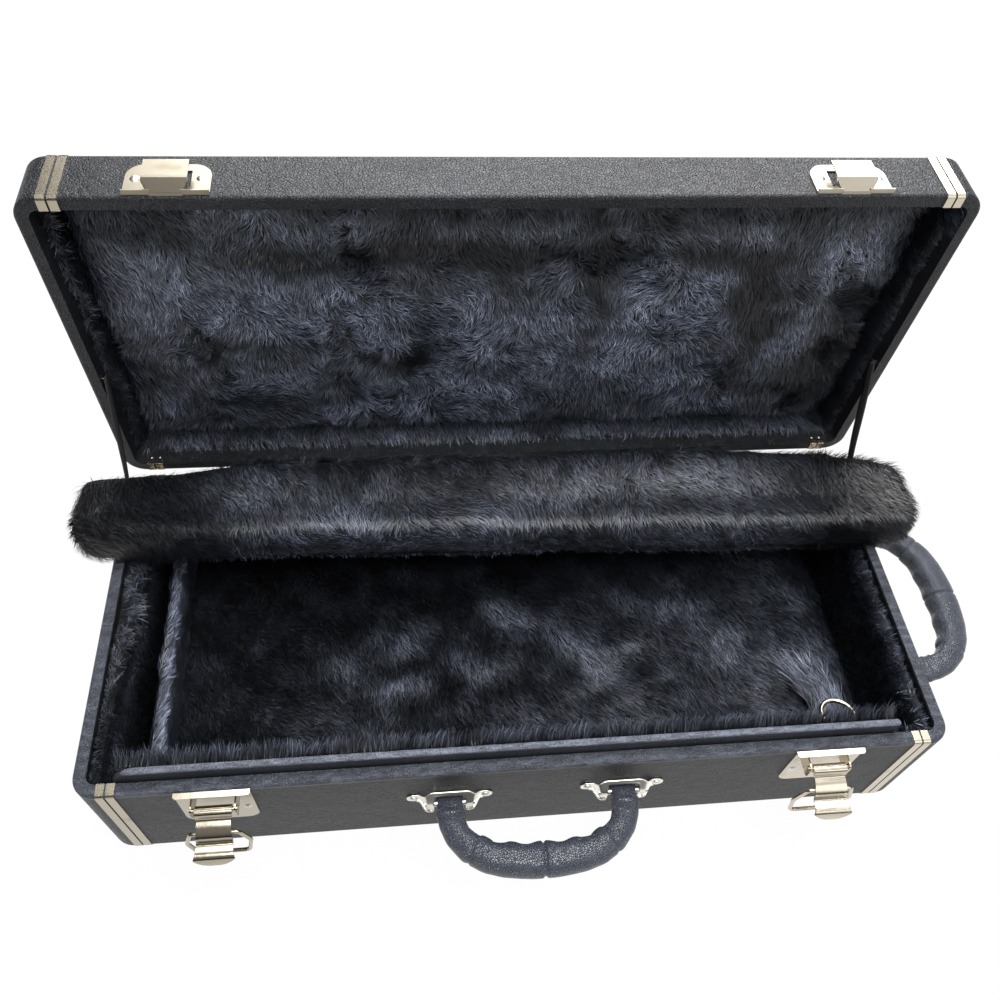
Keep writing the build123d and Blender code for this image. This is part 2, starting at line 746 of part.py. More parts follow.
def handles():
    """The front handle and the one on the right-hand end wall."""
    places = {
        "front": Pos(front_handle_x, front_y, front_handle_z),
        "side": Pos(side_x, side_handle_y, side_handle_z) * Rot(0, 0, 90),
    }
    names = {"front": ("left", "right"), "side": ("front", "rear")}
    nodes = {}
    rivets = []
    for handle, place in places.items():
        pieces = handle_set(place)
        for name, piece in zip(names[handle], pieces["brackets"]):
            nodes[handle + "_handle_bracket_" + name] = piece
        nodes[handle + "_handle_axles"] = solids_of(pieces["axles"])
        nodes[handle + "_handle_grip"] = pieces["grip"]
        nodes[handle + "_handle_core"] = pieces["core"]
        rivets += bracket_rivets(place)
    nodes["handle_bracket_rivets"] = solids_of(rivets)
    return nodes


# ---- bolster ----

def bolster_section(inset):
    """The bolster's section seen from its end: y across, z up, leaning back at the rear."""
    low = bolster_rest_z + inset
    high = bolster_rest_z + 41.0 - inset
    face = make_face(Polyline(
        (40.5 + inset, low), (76.0 - inset, low), (95.5 - inset, high - 6), (93.5 - inset, high),
        (44.0 + inset, high), (39.0 + inset, high - 14), (40.5 + inset, low),
    ))
    return fillet(face.vertices(), 2.6)


def lid_point(a, b):
    """A point of the open lid: a from the rear wall, b up from its rim, as (y, z)."""
    angle = radians(lid_open_angle)
    y = (rear_y - a) - hinge_y
    z = (lid_rim_z + b) - hinge_z
    return (
        hinge_y + y * cos(angle) + z * sin(angle),
        hinge_z - y * sin(angle) + z * cos(angle),
    )


def strap_line():
    """Where the straps run: their lid end, length and lean, seen from the end."""
    top_y, top_z = lid_point(strap_lid_a, strap_lid_b)
    run = hypot(top_y - strap_body_y, top_z - strap_body_z)
    lean = degrees(atan2(top_y - strap_body_y, top_z - strap_body_z))
    return top_y, top_z, run, lean


def bolster_run(inset, x_low, x_high):
    """A length of the bolster, lying a little askew and clear of the straps."""
    on_case = Plane((x_low, 0, 0), x_dir=(0, 1, 0), z_dir=(1, 0, 0))
    bar = extrude(on_case * bolster_section(inset), x_high - x_low)
    turn = Pos(0, bolster_centre_y + bolster_shift_y, 0) * Rot(0, 0, bolster_turn)
    bar = turn * Pos(0, -bolster_centre_y, 0) * bar
    lean = strap_line()[3]
    edge_y = strap_body_y - bolster_strap_room - inset
    return bar & Pos(0, edge_y, strap_body_z) * Rot(-lean, 0, 0) * slab(-400, 400, -200, 0, -100, 200)


def bolster():
    """The loose padded bar: firm core, soft ends and a plush cover."""
    core_half = bolster_core_length / 2
    half = bolster_length / 2
    core = bolster_run(bolster_skin, -core_half, core_half)
    left_end = bolster_run(bolster_skin, -half + bolster_skin, -core_half)
    right_end = bolster_run(bolster_skin, core_half, half - bolster_skin)
    filling = bolster_run(bolster_skin, -half + bolster_skin, half - bolster_skin)
    cover = bolster_run(0, -half, half) - filling
    return {
        "bolster_core": core,
        "bolster_end_padding": solids_of([left_end, right_end]),
        "bolster_cover": cover,
    }


# ---- stay straps ----

def straps():
    """The two ribbons that stop the lid, and the studs that hold their ends."""
    top_y, top_z, run, lean = strap_line()
    middle = ((top_y + strap_body_y) / 2, (top_z + strap_body_z) / 2)
    nodes = {}
    body_studs = []
    lid_studs = []
    for side, sign in (("left", -1), ("right", 1)):
        ribbon = Box(strap_thickness, strap_width, run + 5)
        x = sign * strap_x
        nodes["stay_strap_" + side] = Pos(x, *middle) * Rot(-lean, 0, 0) * ribbon
        shank = side_x - wall_thickness - strap_x + strap_thickness / 2
        stud = Rot(0, -90 * sign, 0) * (Cylinder(1.2, shank) + Pos(0, 0, shank / 2) * dome_nail(2.6, 1.0))
        shift = sign * (shank - strap_thickness) / 2
        body_studs.append((x + shift, strap_body_y, strap_body_z, stud))
        lid_studs.append((x + shift, top_y, top_z, stud))
    return nodes, body_studs, lid_studs


def strap_pieces():
    """The straps with stud holes, and the studs at their two ends."""
    nodes, body_studs, lid_studs = straps()
    body = [Pos(x, y, z) * stud for x, y, z, stud in body_studs]
    lid = [Pos(x, y, z) * stud for x, y, z, stud in lid_studs]
    for side in ("left", "right"):
        name = "stay_strap_" + side
        for stud in body + lid:
            nodes[name] = nodes[name] - stud
    nodes["strap_studs_body"] = solids_of(body)
    nodes["strap_studs_lid"] = solids_of(lid)
    return nodes


# ---- lining ring ----

def lining_ring():
    """A nickel pull ring on a short tab sewn to the front lining."""
    inner_y = front_y + vinyl + board + wall_lining
    pivot = (lining_ring_x, inner_y + 3.6, lining_ring_z - 4.0)
    ring = Torus(lining_ring_radius, lining_ring_wire / 2)
    tilt = Pos(*pivot) * Rot(-12, 0, 0) * Pos(0, lining_ring_radius, 0)
    sleeve = Rot(0, 90, 0) * Cylinder(3.1, 6)
    bore = Rot(0, 90, 0) * Cylinder(lining_ring_wire / 2 + 0.75, 14)
    stem = slab(-3, 3, -3.6, 0, -3.1, -2.4)
    tail = slab(-3, 3, -3.6, -2.9, -16, -2.4)
    tab = Pos(*pivot) * (sleeve + stem + tail - bore)
    return {"lining_ring": tilt * ring, "lining_ring_tab": tab}


def all_nodes():
    """Every named piece of the case."""
    nodes = {}
    nodes.update(body_solids())
    nodes.update(body_lining())
    nodes.update(front_lip())
    nodes.update(end_divider())
    for name, piece in {**lid_solids(), **lid_linings()}.items():
        nodes[name] = opened(piece)
    nodes.update(bands())
    nodes.update(band_nails())
    nodes.update(hinges())
    nodes.update(latches())
    nodes.update(catches())
    nodes.update(handles())
    nodes.update(bolster())
    nodes.update(strap_pieces())
    nodes.update(lining_ring())
    return nodes


os.makedirs("parts", exist_ok=True)
for node_name, node_shape in all_nodes().items():
    export_step(node_shape, "parts/" + node_name + ".step")
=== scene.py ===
"""A vinyl-covered trumpet case with a long-pile plush lining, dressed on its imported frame."""

import functools
import itertools
import math

import bmesh
import bpy
import numpy as np
from mathutils import Matrix, Vector


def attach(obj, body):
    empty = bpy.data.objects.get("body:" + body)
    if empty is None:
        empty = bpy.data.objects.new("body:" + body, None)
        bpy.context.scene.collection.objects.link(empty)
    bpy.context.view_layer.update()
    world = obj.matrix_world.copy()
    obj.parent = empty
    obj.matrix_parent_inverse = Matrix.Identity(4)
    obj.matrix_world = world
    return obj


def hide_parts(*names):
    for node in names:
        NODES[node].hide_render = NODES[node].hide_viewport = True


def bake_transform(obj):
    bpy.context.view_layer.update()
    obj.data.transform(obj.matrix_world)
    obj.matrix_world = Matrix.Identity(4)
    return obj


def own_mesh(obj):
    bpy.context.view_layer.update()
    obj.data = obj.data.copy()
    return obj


bl_info = {
    "name": "Trumpet Case",
    "version": (1, 0, 0),
    "blender": (4, 5, 0),
    "location": "View3D > Sidebar > Trumpet Case",
    "description": "Builds the vinyl, nickel, plush and grips of an open trumpet case",
    "category": "Object",
}

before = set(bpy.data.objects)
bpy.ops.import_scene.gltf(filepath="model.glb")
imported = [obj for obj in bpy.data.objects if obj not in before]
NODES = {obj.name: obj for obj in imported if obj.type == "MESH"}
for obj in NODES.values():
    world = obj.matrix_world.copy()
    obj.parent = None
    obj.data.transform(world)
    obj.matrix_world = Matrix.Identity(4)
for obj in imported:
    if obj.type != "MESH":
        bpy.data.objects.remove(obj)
MM = 0.001


# ---- node trees, written as expressions ----

def arithmetic(operation, swapped=False):
    """A method that adds a Math node for this operation."""
    def method(self, other):
        return self.maths(operation, *((other, self) if swapped else (self, other)))
    return method


class Wire:
    """A number in a node tree. Arithmetic on it adds Math nodes."""

    __add__ = __radd__ = arithmetic("ADD")
    __sub__ = arithmetic("SUBTRACT")
    __rsub__ = arithmetic("SUBTRACT", swapped=True)
    __mul__ = __rmul__ = arithmetic("MULTIPLY")
    __truediv__ = arithmetic("DIVIDE")
    __pow__ = arithmetic("POWER")
    low = arithmetic("MINIMUM")
    high = arithmetic("MAXIMUM")

    def __init__(self, graph, socket):
        self.graph = graph
        self.socket = socket

    def maths(self, operation, *values):
        node = self.graph.add("ShaderNodeMath", {"operation": operation}, dict(enumerate(values)))
        return Wire(self.graph, node.outputs[0])

    def between(self, start, end):
        """0 below start, 1 above end, smooth in between."""
        ramp = self.graph.add(
            "ShaderNodeMapRange", {"interpolation_type": "SMOOTHSTEP"},
            {"Value": self, "From Min": start, "From Max": end, "To Min": 0.0, "To Max": 1.0},
        )
        return Wire(self.graph, ramp.outputs["Result"])


class Graph:
    """A node tree being built."""

    def __init__(self, tree):
        self.tree = tree

    def add(self, kind, settings=None, sockets=None):
        """A node of this type, with its settings and the values or links of its sockets."""
        node = self.tree.nodes.new(kind)
        for name, value in (settings or {}).items():
            setattr(node, name, value)
        for name, value in (sockets or {}).items():
            self.feed(node.inputs[name], value)
        return node

    def feed(self, socket, value):
        """Links or sets a socket; a colour may leave out its alpha."""
        if isinstance(value, Wire):
            value = value.socket
        if isinstance(value, bpy.types.NodeSocket):
            self.tree.links.new(value, socket)
        elif socket.type == "RGBA":
            socket.default_value = (*value[:3], 1.0)
        else:
            socket.default_value = value

    def wire(self, node, output=0):
        return Wire(self, node.outputs[output])

    def vector(self, operation, first, second):
        """The result of a Vector Math node."""
        sockets = {0: first, "Scale" if operation == "SCALE" else 1: second}
        return self.add("ShaderNodeVectorMath", {"operation": operation}, sockets).outputs[0]

    def axes(self, vector):
        """The three numbers of a vector."""
        node = self.add("ShaderNodeSeparateXYZ", None, {0: vector})
        return [self.wire(node, axis) for axis in range(3)]

    def noise_node(self, where, scale, detail=2.0, roughness=0.5):
        sockets = {"Vector": where, "Scale": scale, "Detail": detail, "Roughness": roughness}
        return self.add("ShaderNodeTexNoise", None, sockets)


class Finish(Graph):
    """A material being built round one Principled shader."""

    def __init__(self, name):
        self.material = bpy.data.materials.new(name)
        self.material.use_nodes = True
        super().__init__(self.material.node_tree)
        self.tree.nodes.clear()
        self.where = self.add("ShaderNodeTexCoord").outputs["Object"]
        self.shader = self.add("ShaderNodeBsdfPrincipled")
        self.add("ShaderNodeOutputMaterial", None, {"Surface": self.shader.outputs["BSDF"]})

    def set(self, **values):
        """Sets the shader's sockets, where an underscore stands for a space; gives the material."""
        for name, value in values.items():
            self.feed(self.shader.inputs[name.replace("_", " ")], value)
        return self.material

    def mix(self, amount, first, second):
        """A colour between two colours."""
        sockets = {0: amount, 6: first, 7: second}
        return self.add("ShaderNodeMix", {"data_type": "RGBA"}, sockets).outputs[2]

    def noise(self, scale, detail=2.0, roughness=0.5, where=None):
        """A noise pattern's height, about 0 to 1."""
        return self.wire(self.noise_node(where or self.where, scale, detail, roughness))

    def cells(self, scale, feature="F1", where=None):
        """Distance in a cell pattern, to a cell's middle or to its edge."""
        sockets = {"Vector": where or self.where, "Scale": scale}
        node = self.add("ShaderNodeTexVoronoi", {"feature": feature}, sockets)
        return self.wire(node, "Distance")

    def stored(self, name):
        """A number that the mesh stores on its points."""
        return self.wire(self.add("ShaderNodeAttribute", {"attribute_name": name}), "Fac")

    def stretch(self, x, y, z):
        """Object coordinates scaled along each axis."""
        node = self.add("ShaderNodeMapping", None, {"Vector": self.where, "Scale": (x, y, z)})
        return node.outputs["Vector"]

    def bump(self, height, depth, normal=None):
        """A normal raised by height (0 to 1) times depth in metres."""
        sockets = {"Height": height, "Distance": depth, "Strength": 1.0}
        if normal is not None:
            sockets["Normal"] = normal
        return self.add("ShaderNodeBump", None, sockets).outputs["Normal"]


def tone(values, gain, lift=0.0):
    """A colour made lighter or darker."""
    return [part * gain + lift for part in values]


def paint(material, *names):
    """Gives CAD nodes their finish."""
    for name in names:
        node = NODES[name]
        node.data.materials.clear()
        node.data.materials.append(material)


def named(*starts):
    """The CAD nodes whose names start with one of these."""
    return [name for name in sorted(NODES) if name.startswith(starts)]


# ---- finishes ----

def vinyl_finish(name, base, worn, rise, rim_highlights, shine):
    """Grained vinyl: pebbles and fine creases, paler where rubbed, a painted highlight over each
    rim.

    Each rim with a painted highlight is an axis, and the places on it where the rim starts and is
    whole.
    """
    finish = Finish(name)
    warp = finish.noise_node(finish.where, 38.0)
    moved = finish.add(
        "ShaderNodeVectorMath", {"operation": "MULTIPLY_ADD"},
        {0: warp.outputs["Color"], 1: (0.006, 0.006, 0.006), 2: finish.where},
    ).outputs[0]
    pebbles = finish.cells(560.0, "DISTANCE_TO_EDGE", moved).between(0.0, 0.16)
    creases = finish.cells(120.0, "DISTANCE_TO_EDGE", moved).between(0.0, 0.07)
    ripple = finish.noise(26.0, 3.0, 0.6)
    patches = finish.noise(9.0, 4.0, 0.65)
    grain = pebbles * 0.7 + creases * 0.5 + finish.cells(1250.0, "F1", moved) * 0.25
    wear = ((patches - 0.42).high(0.0) * 1.6 * pebbles).low(1.0)
    normal = finish.bump(grain, rise, finish.bump(ripple, 0.0016))
    body = finish.mix(wear, base, worn)
    if rim_highlights:
        edge = 1.0
        for axis, start, end in rim_highlights:
            edge = finish.axes(finish.where)[axis].between(start, end) * edge
        folds = finish.noise(1.0, 3.0, 0.65, finish.stretch(95.0, 210.0, 210.0))
        # Painted highlight: the rubbed colour made 2.7 times paler along the rims, broken by the
        # folds.
        body = finish.mix(edge * (0.50 + folds.between(0.4, 0.7) * 0.55), body, tone(worn, 2.7))
        normal = finish.bump(folds * edge, 0.0030, normal)
    return finish.set(
        Base_Color=body,
        Roughness=0.42 - pebbles * 0.10 + patches * 0.08,
        Normal=normal,
        Specular_IOR_Level=shine,
    )


def nickel_finish(name, plate, rough):
    """Warm nickel plate: rolling marks, small dents, a dull film here and there, painted paler to
    the right.
    """
    finish = Finish(name)
    brushed = finish.noise(1.0, 3.0, 0.6, finish.stretch(900.0, 60.0, 60.0))
    tarnish = finish.noise(55.0, 4.0, 0.6).between(0.56, 0.8)
    dents = finish.noise(190.0)
    pits = finish.cells(900.0).between(0.0, 0.12)
    # Painted highlight: the plate turns paler towards the right, where more light falls.
    across = finish.axes(finish.where)[0].between(-0.22, 0.22)
    plate_lit_from_right = finish.mix(across, plate, tone(plate, 1.3, 0.05))
    return finish.set(
        Base_Color=finish.mix(tarnish * 0.35 + (1 - pits) * 0.2, plate_lit_from_right, (0.24, 0.20, 0.15)),
        Metallic=1.0,
        Roughness=rough + tarnish * 0.18 + brushed * 0.06,
        Normal=finish.bump(dents, 0.00004, finish.bump(brushed, 0.000006)),
    )


def one_pattern(finish, pattern, dark, pale, rough, spread, depth):
    """A finish whose colour, roughness and relief all follow one pattern."""
    return finish.set(
        Base_Color=finish.mix(pattern, dark, pale),
        Roughness=rough + pattern * spread,
        Normal=finish.bump(pattern, depth),
    )


def steel_finish():
    """Plain steel with a lengthwise grain."""
    finish = Finish("plain_steel")
    grain = finish.noise(1.0, 3.0, 0.5, finish.stretch(40.0, 800.0, 800.0))
    finish.set(Metallic=1.0)
    return one_pattern(finish, grain, (0.5, 0.5, 0.5), (0.66, 0.65, 0.63), 0.3, 0.15, 0.00002)


def ribbon_finish():
    """Black woven tape."""
    finish = Finish("woven_ribbon")
    threads = []
    for place, count in zip(finish.axes(finish.where)[1:], (3200.0, 4200.0)):
        turn = place * count
        threads.append(turn.maths("ABSOLUTE", turn.maths("SINE", turn)))
    weave = threads[0] * 0.5 + threads[1] * 0.5
    return one_pattern(finish, weave, (0.006, 0.006, 0.007), (0.03, 0.03, 0.034), 0.8, -0.1, 0.0002)


def wood_finish():
    """Plain plywood, as it shows at a worn edge."""
    finish = Finish("plywood")
    plies = finish.noise(1.0, 4.0, 0.6, finish.stretch(6.0, 60.0, 500.0))
    return one_pattern(finish, plies, (0.30, 0.19, 0.10), (0.55, 0.40, 0.24), 0.7, 0.1, 0.0003)


def foam_finish():
    """Open-cell foam inside the bolster."""
    finish = Finish("open_foam")
    pores = finish.cells(420.0).between(0.0, 0.6)
    return one_pattern(finish, pores, (0.32, 0.30, 0.22), (0.62, 0.58, 0.46), 0.9, -0.05, 0.001)


def grip_finish(base, pale):
    """Moulded grip: dense pebbles, a soft sheen and paler high spots."""
    finish = Finish("pebbled_grip")
    pebbles = finish.cells(690.0, "DISTANCE_TO_EDGE").between(0.0, 0.17)
    fine = finish.noise(900.0)
    wear = finish.noise(70.0, 3.0, 0.6).between(0.5, 0.75)
    return finish.set(
        Base_Color=finish.mix(pebbles * 0.45 + wear * 0.4, base, pale),
        Roughness=0.30 - pebbles * 0.08 + fine * 0.08,
        Normal=finish.bump(pebbles * 0.7 + fine * 0.3, 0.00048),
        Specular_IOR_Level=0.62,
    )


def plush_ground_finish():
    """The woven back of the plush, seen between the hairs."""
    finish = Finish("plush_ground")
    shade = finish.noise(40.0, 3.0)
    return finish.set(
        Base_Color=finish.mix(shade, (0.0015, 0.0016, 0.002), (0.006, 0.0065, 0.009)),
        Roughness=0.95,
        Normal=finish.bump(finish.cells(900.0), 0.0006),
    )


def pile_finish(name, root, tip):
    """The hairs: near black at the root, a painted shade, blue-black and slightly shiny towards the
    tip.
    """
    finish = Finish(name)
    along, tint, painted_sheen = (finish.stored(mark) for mark in ("along", "tint", "brushed"))
    drift = finish.noise(45.0, 3.0, 0.6).between(0.35, 0.65)
    # Painted shade towards the roots and a painted sheen where the brushed mark is high; tint and
    # drift vary the tone at random.
    amount = along * (0.16 + tint * tint * tint * 0.84) * (0.04 + painted_sheen * (0.60 + drift * 0.80))
    return finish.set(
        Base_Color=finish.mix(amount.low(1.0), root, tip),
        Roughness=0.30 + tint * 0.20,
        Specular_IOR_Level=0.55,
    )


# ---- meshes ----

def add_object(name, mesh, material=None):
    made = bpy.data.objects.new(name, mesh)
    bpy.context.scene.collection.objects.link(made)
    if material is not None:
        mesh.materials.clear()
        mesh.materials.append(material)
    return made


def mesh_of(name, points, faces):
    mesh = bpy.data.meshes.new(name)
    mesh.from_pydata([tuple(point) for point in points], [], [tuple(face) for face in faces])
    mesh.validate()
    return mesh


def tube_faces(rings, size, closed=False):
    """Quads between rings of points, with an end face at each end unless the rings go round."""
    faces = []
    for i in range(rings if closed else rings - 1):
        here, there = i * size, (i + 1) % rings * size
        for k in range(size):
            m = (k + 1) % size
            faces.append((here + k, here + m, there + m, there + k))
    if not closed:
        faces.append(tuple(range(size))[::-1])
        faces.append(tuple((rings - 1) * size + k for k in range(size)))
    return faces


def settled(holder):
    """A plain mesh of an object with its modifiers applied; the object goes."""
    bpy.context.view_layer.update()
    graph = bpy.context.evaluated_depsgraph_get()
    mesh = bpy.data.meshes.new_from_object(holder.evaluated_get(graph))
    old = holder.data
    bpy.data.objects.remove(holder)
    bpy.data.meshes.remove(old)
    return mesh


def points_of(mesh):
    found = np.empty(len(mesh.vertices) * 3)
    mesh.vertices.foreach_get("co", found)
    return found.reshape(-1, 3)


def move_points(mesh, places):
    mesh.vertices.foreach_set("co", places.ravel())
    mesh.update()


def normals_of(mesh):
    found = np.empty(len(mesh.vertices) * 3)
    mesh.vertex_normals.foreach_get("vector", found)
    return found.reshape(-1, 3)


def rounded(mesh):
    """The mesh with smooth shading."""
    mesh.polygons.foreach_set("use_smooth", [True] * len(mesh.polygons))
    return mesh


def outward(mesh):
    """The closed mesh with every face turned outwards."""
    work = bmesh.new()
    work.from_mesh(mesh)
    bmesh.ops.recalc_face_normals(work, faces=work.faces)
    work.to_mesh(mesh)
    work.free()
    return mesh


def share(values, start, end):
    """How far the values are on the way from start to end, from 0 to 1."""
    return np.clip((values - start) / (end - start), 0.0, 1.0)


def waves(points, size, seed):
    """Smooth unevenness, about -1 to 1, with features of this size in metres."""
    chance = np.random.default_rng(seed)
    total = np.zeros(len(points))
    for _ in range(14):
        direction = chance.normal(size=3)
        direction *= chance.uniform(0.6, 1.7) / np.linalg.norm(direction)
        total += np.sin(points @ direction * (2 * math.pi / size) + chance.uniform(0, 2 * math.pi))
    return total / 5.0


def mark(mesh, name, values):
    """Stores a number from 0 to 1 on each vertex."""
    attribute = mesh.attributes.get(name) or mesh.attributes.new(name, "FLOAT", "POINT")
    attribute.data.foreach_set("value", np.clip(np.asarray(values, np.float32), 0.0, 1.0))


def brushed(places, patches, seed, ground, ragged=0.28):
    """How flat the pile lies and its painted sheen: soft-edged patches, as centre, reach and
    strength.
    """
    uneven = waves(places, 0.05, seed) + waves(places, 0.02, seed + 1)
    total = np.zeros(len(places)) + ground + ragged * 0.5 * uneven
    warp = np.column_stack([waves(places, 0.09, seed + 2 + k) for k in range(3)]) * 0.012
    for centre, reach, strength in patches:
        away = (places + warp - np.array(centre)) / np.array(reach)
        total += strength * np.exp(-(away ** 2).sum(axis=1) * 1.2)
    return np.clip(total, 0.0, 1.0)


def even_pad(node_name, voxel, uneven, seed, is_open):
    """A soft pad in the room of a CAD node: open faces rise and fall, its back stays flat."""
    source = NODES[node_name].data.copy()
    work = bmesh.new()
    work.from_mesh(source)
    bmesh.ops.remove_doubles(work, verts=work.verts, dist=1e-5)
    work.to_mesh(source)
    work.free()
    holder = add_object("pad_work", source)
    remesh = holder.modifiers.new("even", "REMESH")
    remesh.mode = "VOXEL"
    remesh.voxel_size = voxel
    mesh = settled(holder)
    places = points_of(mesh)
    normals = normals_of(mesh)
    openness = is_open(normals).astype(float)
    drop = uneven * (0.9 + waves(places, 0.07, seed) * 0.6 + waves(places, 0.025, seed + 1) * 0.3)
    move_points(mesh, places - normals * (openness * np.clip(drop, 0.0, None) + 0.0001)[:, None])
    mark(mesh, "pile", openness)
    return rounded(mesh)


# ---- plush pile ----

PILE_INPUTS = {
    "Float": ("Density", "Length", "Width", "Wander", "Patch Scale", "Steep Lean", "Flat Lean",
              "From X", "To X"),
    "Vector": ("Comb",),
    "Int": ("Seed",),
    "Material": ("Material",),
}
HAIR_BEND = 0.95  # radians, over the length of a hair
HAIR_TAPER = 1.8
HAIR_MERGE = 0.00002
TUFT_SCALE = 120.0
TUFT_RUFFLE = 2.2
HALF = (-0.5, -0.5, -0.5)


def pile_tree():
    """Geometry nodes that grow leaning hairs on a skin, combed by a wandering direction."""
    tree = bpy.data.node_groups.new("plush_pile", "GeometryNodeTree")
    for way in ("OUTPUT", "INPUT"):
        tree.interface.new_socket("Geometry", in_out=way, socket_type="NodeSocketGeometry")
    for kind, names in PILE_INPUTS.items():
        for name in names:
            tree.interface.new_socket(name, in_out="INPUT", socket_type="NodeSocket" + kind)
    graph = Graph(tree)
    given = graph.add("NodeGroupInput").outputs

    def number(name):
        return Wire(graph, given[name])

    def named_number(name):
        kind = {"data_type": "FLOAT"}
        return graph.wire(graph.add("GeometryNodeInputNamedAttribute", kind, {"Name": name}))

    def chance(kind, seed, sockets=None):
        sockets = dict(sockets or {}, Seed=seed)
        return graph.add("FunctionNodeRandomValue", {"data_type": kind}, sockets).outputs

    def store(geometry, name, value):
        settings = {"data_type": "FLOAT", "domain": "POINT"}
        sockets = {"Geometry": geometry, "Name": name, "Value": value}
        return graph.add("GeometryNodeStoreNamedAttribute", settings, sockets).outputs[0]

    # where the hairs stand
    place = graph.add("GeometryNodeInputPosition").outputs[0]
    x = graph.axes(place)[0]
    inside = x.maths("GREATER_THAN", x, given["From X"]) * x.maths("LESS_THAN", x, given["To X"])
    scatter = graph.add(
        "GeometryNodeDistributePointsOnFaces", {"distribute_method": "RANDOM"},
        {"Mesh": given["Geometry"], "Selection": inside, "Seed": given["Seed"],
         "Density": named_number("pile") * number("Density")},
    )
    roots = store(scatter.outputs["Points"], "tint", chance("FLOAT", given["Seed"])[1])

    # one hair, bent and tapered
    grid = {"Size X": 1.0, "Size Y": 1.0, "Vertices X": 2, "Vertices Y": 3}
    hair = graph.add("GeometryNodeMeshGrid", None, grid).outputs["Mesh"]
    across, upward = graph.axes(place)[:2]
    along = upward + 0.5
    shape = graph.add("ShaderNodeCombineXYZ", None, {
        "X": (1.0 - along.maths("COSINE", along * HAIR_BEND)) * number("Length") / HAIR_BEND,
        "Y": across * number("Width") * (1.0 - along ** HAIR_TAPER),
        "Z": along.maths("SINE", along * HAIR_BEND) * number("Length") / HAIR_BEND,
    })
    sockets = {"Geometry": store(hair, "along", along), "Position": shape.outputs[0]}
    hair = graph.add("GeometryNodeSetPosition", None, sockets).outputs[0]
    sockets = {"Geometry": hair, "Distance": HAIR_MERGE}
    hair = graph.add("GeometryNodeMergeByDistance", None, sockets).outputs[0]

    # which way it's combed, and how far it lies down
    broad = graph.noise_node(place, given["Patch Scale"], 1.5)
    tufts = graph.noise_node(place, TUFT_SCALE, 1.0)
    combed = given["Comb"]
    for noise, reach in ((broad, given["Wander"]), (tufts, TUFT_RUFFLE)):
        drift = graph.vector("ADD", noise.outputs["Color"], HALF)
        combed = graph.vector("ADD", combed, graph.vector("SCALE", drift, reach))
    align = "FunctionNodeAlignRotationToVector"
    turned = graph.add(align, {"axis": "Z"}, {"Vector": scatter.outputs["Normal"]}).outputs[0]
    sockets = {"Rotation": turned, "Vector": combed}
    turned = graph.add(align, {"axis": "X", "pivot_axis": "Z"}, sockets).outputs[0]
    lie = (named_number("brushed") * (graph.wire(broad) + 0.55)).low(1.0)
    steep = number("Steep Lean")
    lean = steep + (number("Flat Lean") - steep) * lie
    jitter = chance("FLOAT_VECTOR", given["Seed"], {0: (-0.14, -0.2, -0.30), 1: (0.14, 0.2, 0.30)})
    lean = graph.add("ShaderNodeCombineXYZ", None, {"Y": lean}).outputs[0]
    turned = graph.add(
        "FunctionNodeRotateRotation", {"rotation_space": "LOCAL"},
        {"Rotation": turned, "Rotate By": graph.vector("ADD", lean, jitter[0])},
    ).outputs[0]
    size = chance("FLOAT", number("Seed") + 7.0, {2: 0.65, 3: 1.1})[1]

    grown = graph.add(
        "GeometryNodeInstanceOnPoints", None,
        {"Points": roots, "Instance": hair, "Rotation": turned, "Scale": size},
    ).outputs[0]
    grown = graph.add("GeometryNodeRealizeInstances", None, {0: grown}).outputs[0]
    sockets = {"Geometry": grown, "Material": given["Material"]}
    grown = graph.add("GeometryNodeSetMaterial", None, sockets).outputs[0]
    graph.add("NodeGroupOutput", None, {0: grown})
    return tree


def grow_pile(name, skin, tree, values):
    """Hairs on a skin as a plain mesh."""
    holder = add_object(name + "_work", skin.copy())
    modifier = holder.modifiers.new("pile", "NODES")
    modifier.node_group = tree
    for item in tree.interface.items_tree:
        if item.in_out == "INPUT" and item.name in values:
            modifier[item.identifier] = values[item.name]
    mesh = rounded(settled(holder))
    mesh.name = name
    return add_object(name, mesh)


# ---- linings, in metres ----

HALF_WIDTH = 0.3
HALF_DEPTH = 0.132
HINGE = Matrix.Translation((0.0, 0.1335, 0.1068))
OPEN_ANGLE = math.radians(87.75)
OPEN_LID = HINGE @ Matrix.Rotation(-OPEN_ANGLE, 4, "X") @ HINGE.inverted()
WALL_INSET = 0.0078
WALL_CORNER = 0.009
PLAN_STEP = 0.005
CORNER_STEPS = 4
FACE_STEPS = 14
CROWN_STEPS = 6
LINING_DEPTHS = (0.0002, 0.0062)  # back and face of a wall's pad, in from the board
BODY_WALL = (0.0052, 0.0956)  # heights of its lower and upper edge
LID_WALL = (0.1216, 0.1446)  # the same, with the lid shut
BEHIND_LIP = (0.0069, 0.0078)  # back and face of the pad where the front lip stands before it
LIP_ENDS = (-0.277, 0.263)
LIP_REAR = -0.11
LEFT_END = -0.283  # left of this, the pad grows thicker towards the rear
LEFT_SWELL = 0.0080


def rounded_rectangle(inset, corner):
    """Points round the case's plan and the way in from each, going anticlockwise."""
    half = np.array((HALF_WIDTH - inset - corner, HALF_DEPTH - inset - corner))
    corners = [half * way for way in ((1, -1), (1, 1), (-1, 1), (-1, -1))]
    points = []
    inward = []
    for turn, centre in enumerate(corners):
        for k in range(CORNER_STEPS + 1):
            angle = math.pi / 2 * (turn - 1 + k / CORNER_STEPS)
            inward.append(-np.array((math.cos(angle), math.sin(angle))))
            points.append(centre - inward[-1] * corner)
        begin, way = points[-1], inward[-1]
        far = corners[(turn + 1) % 4] - way * corner
        count = max(int(np.linalg.norm(far - begin) / PLAN_STEP), 2)
        for k in range(1, count):
            points.append(begin + (far - begin) * k / count)
            inward.append(way)
    return np.array(points), np.array(inward)


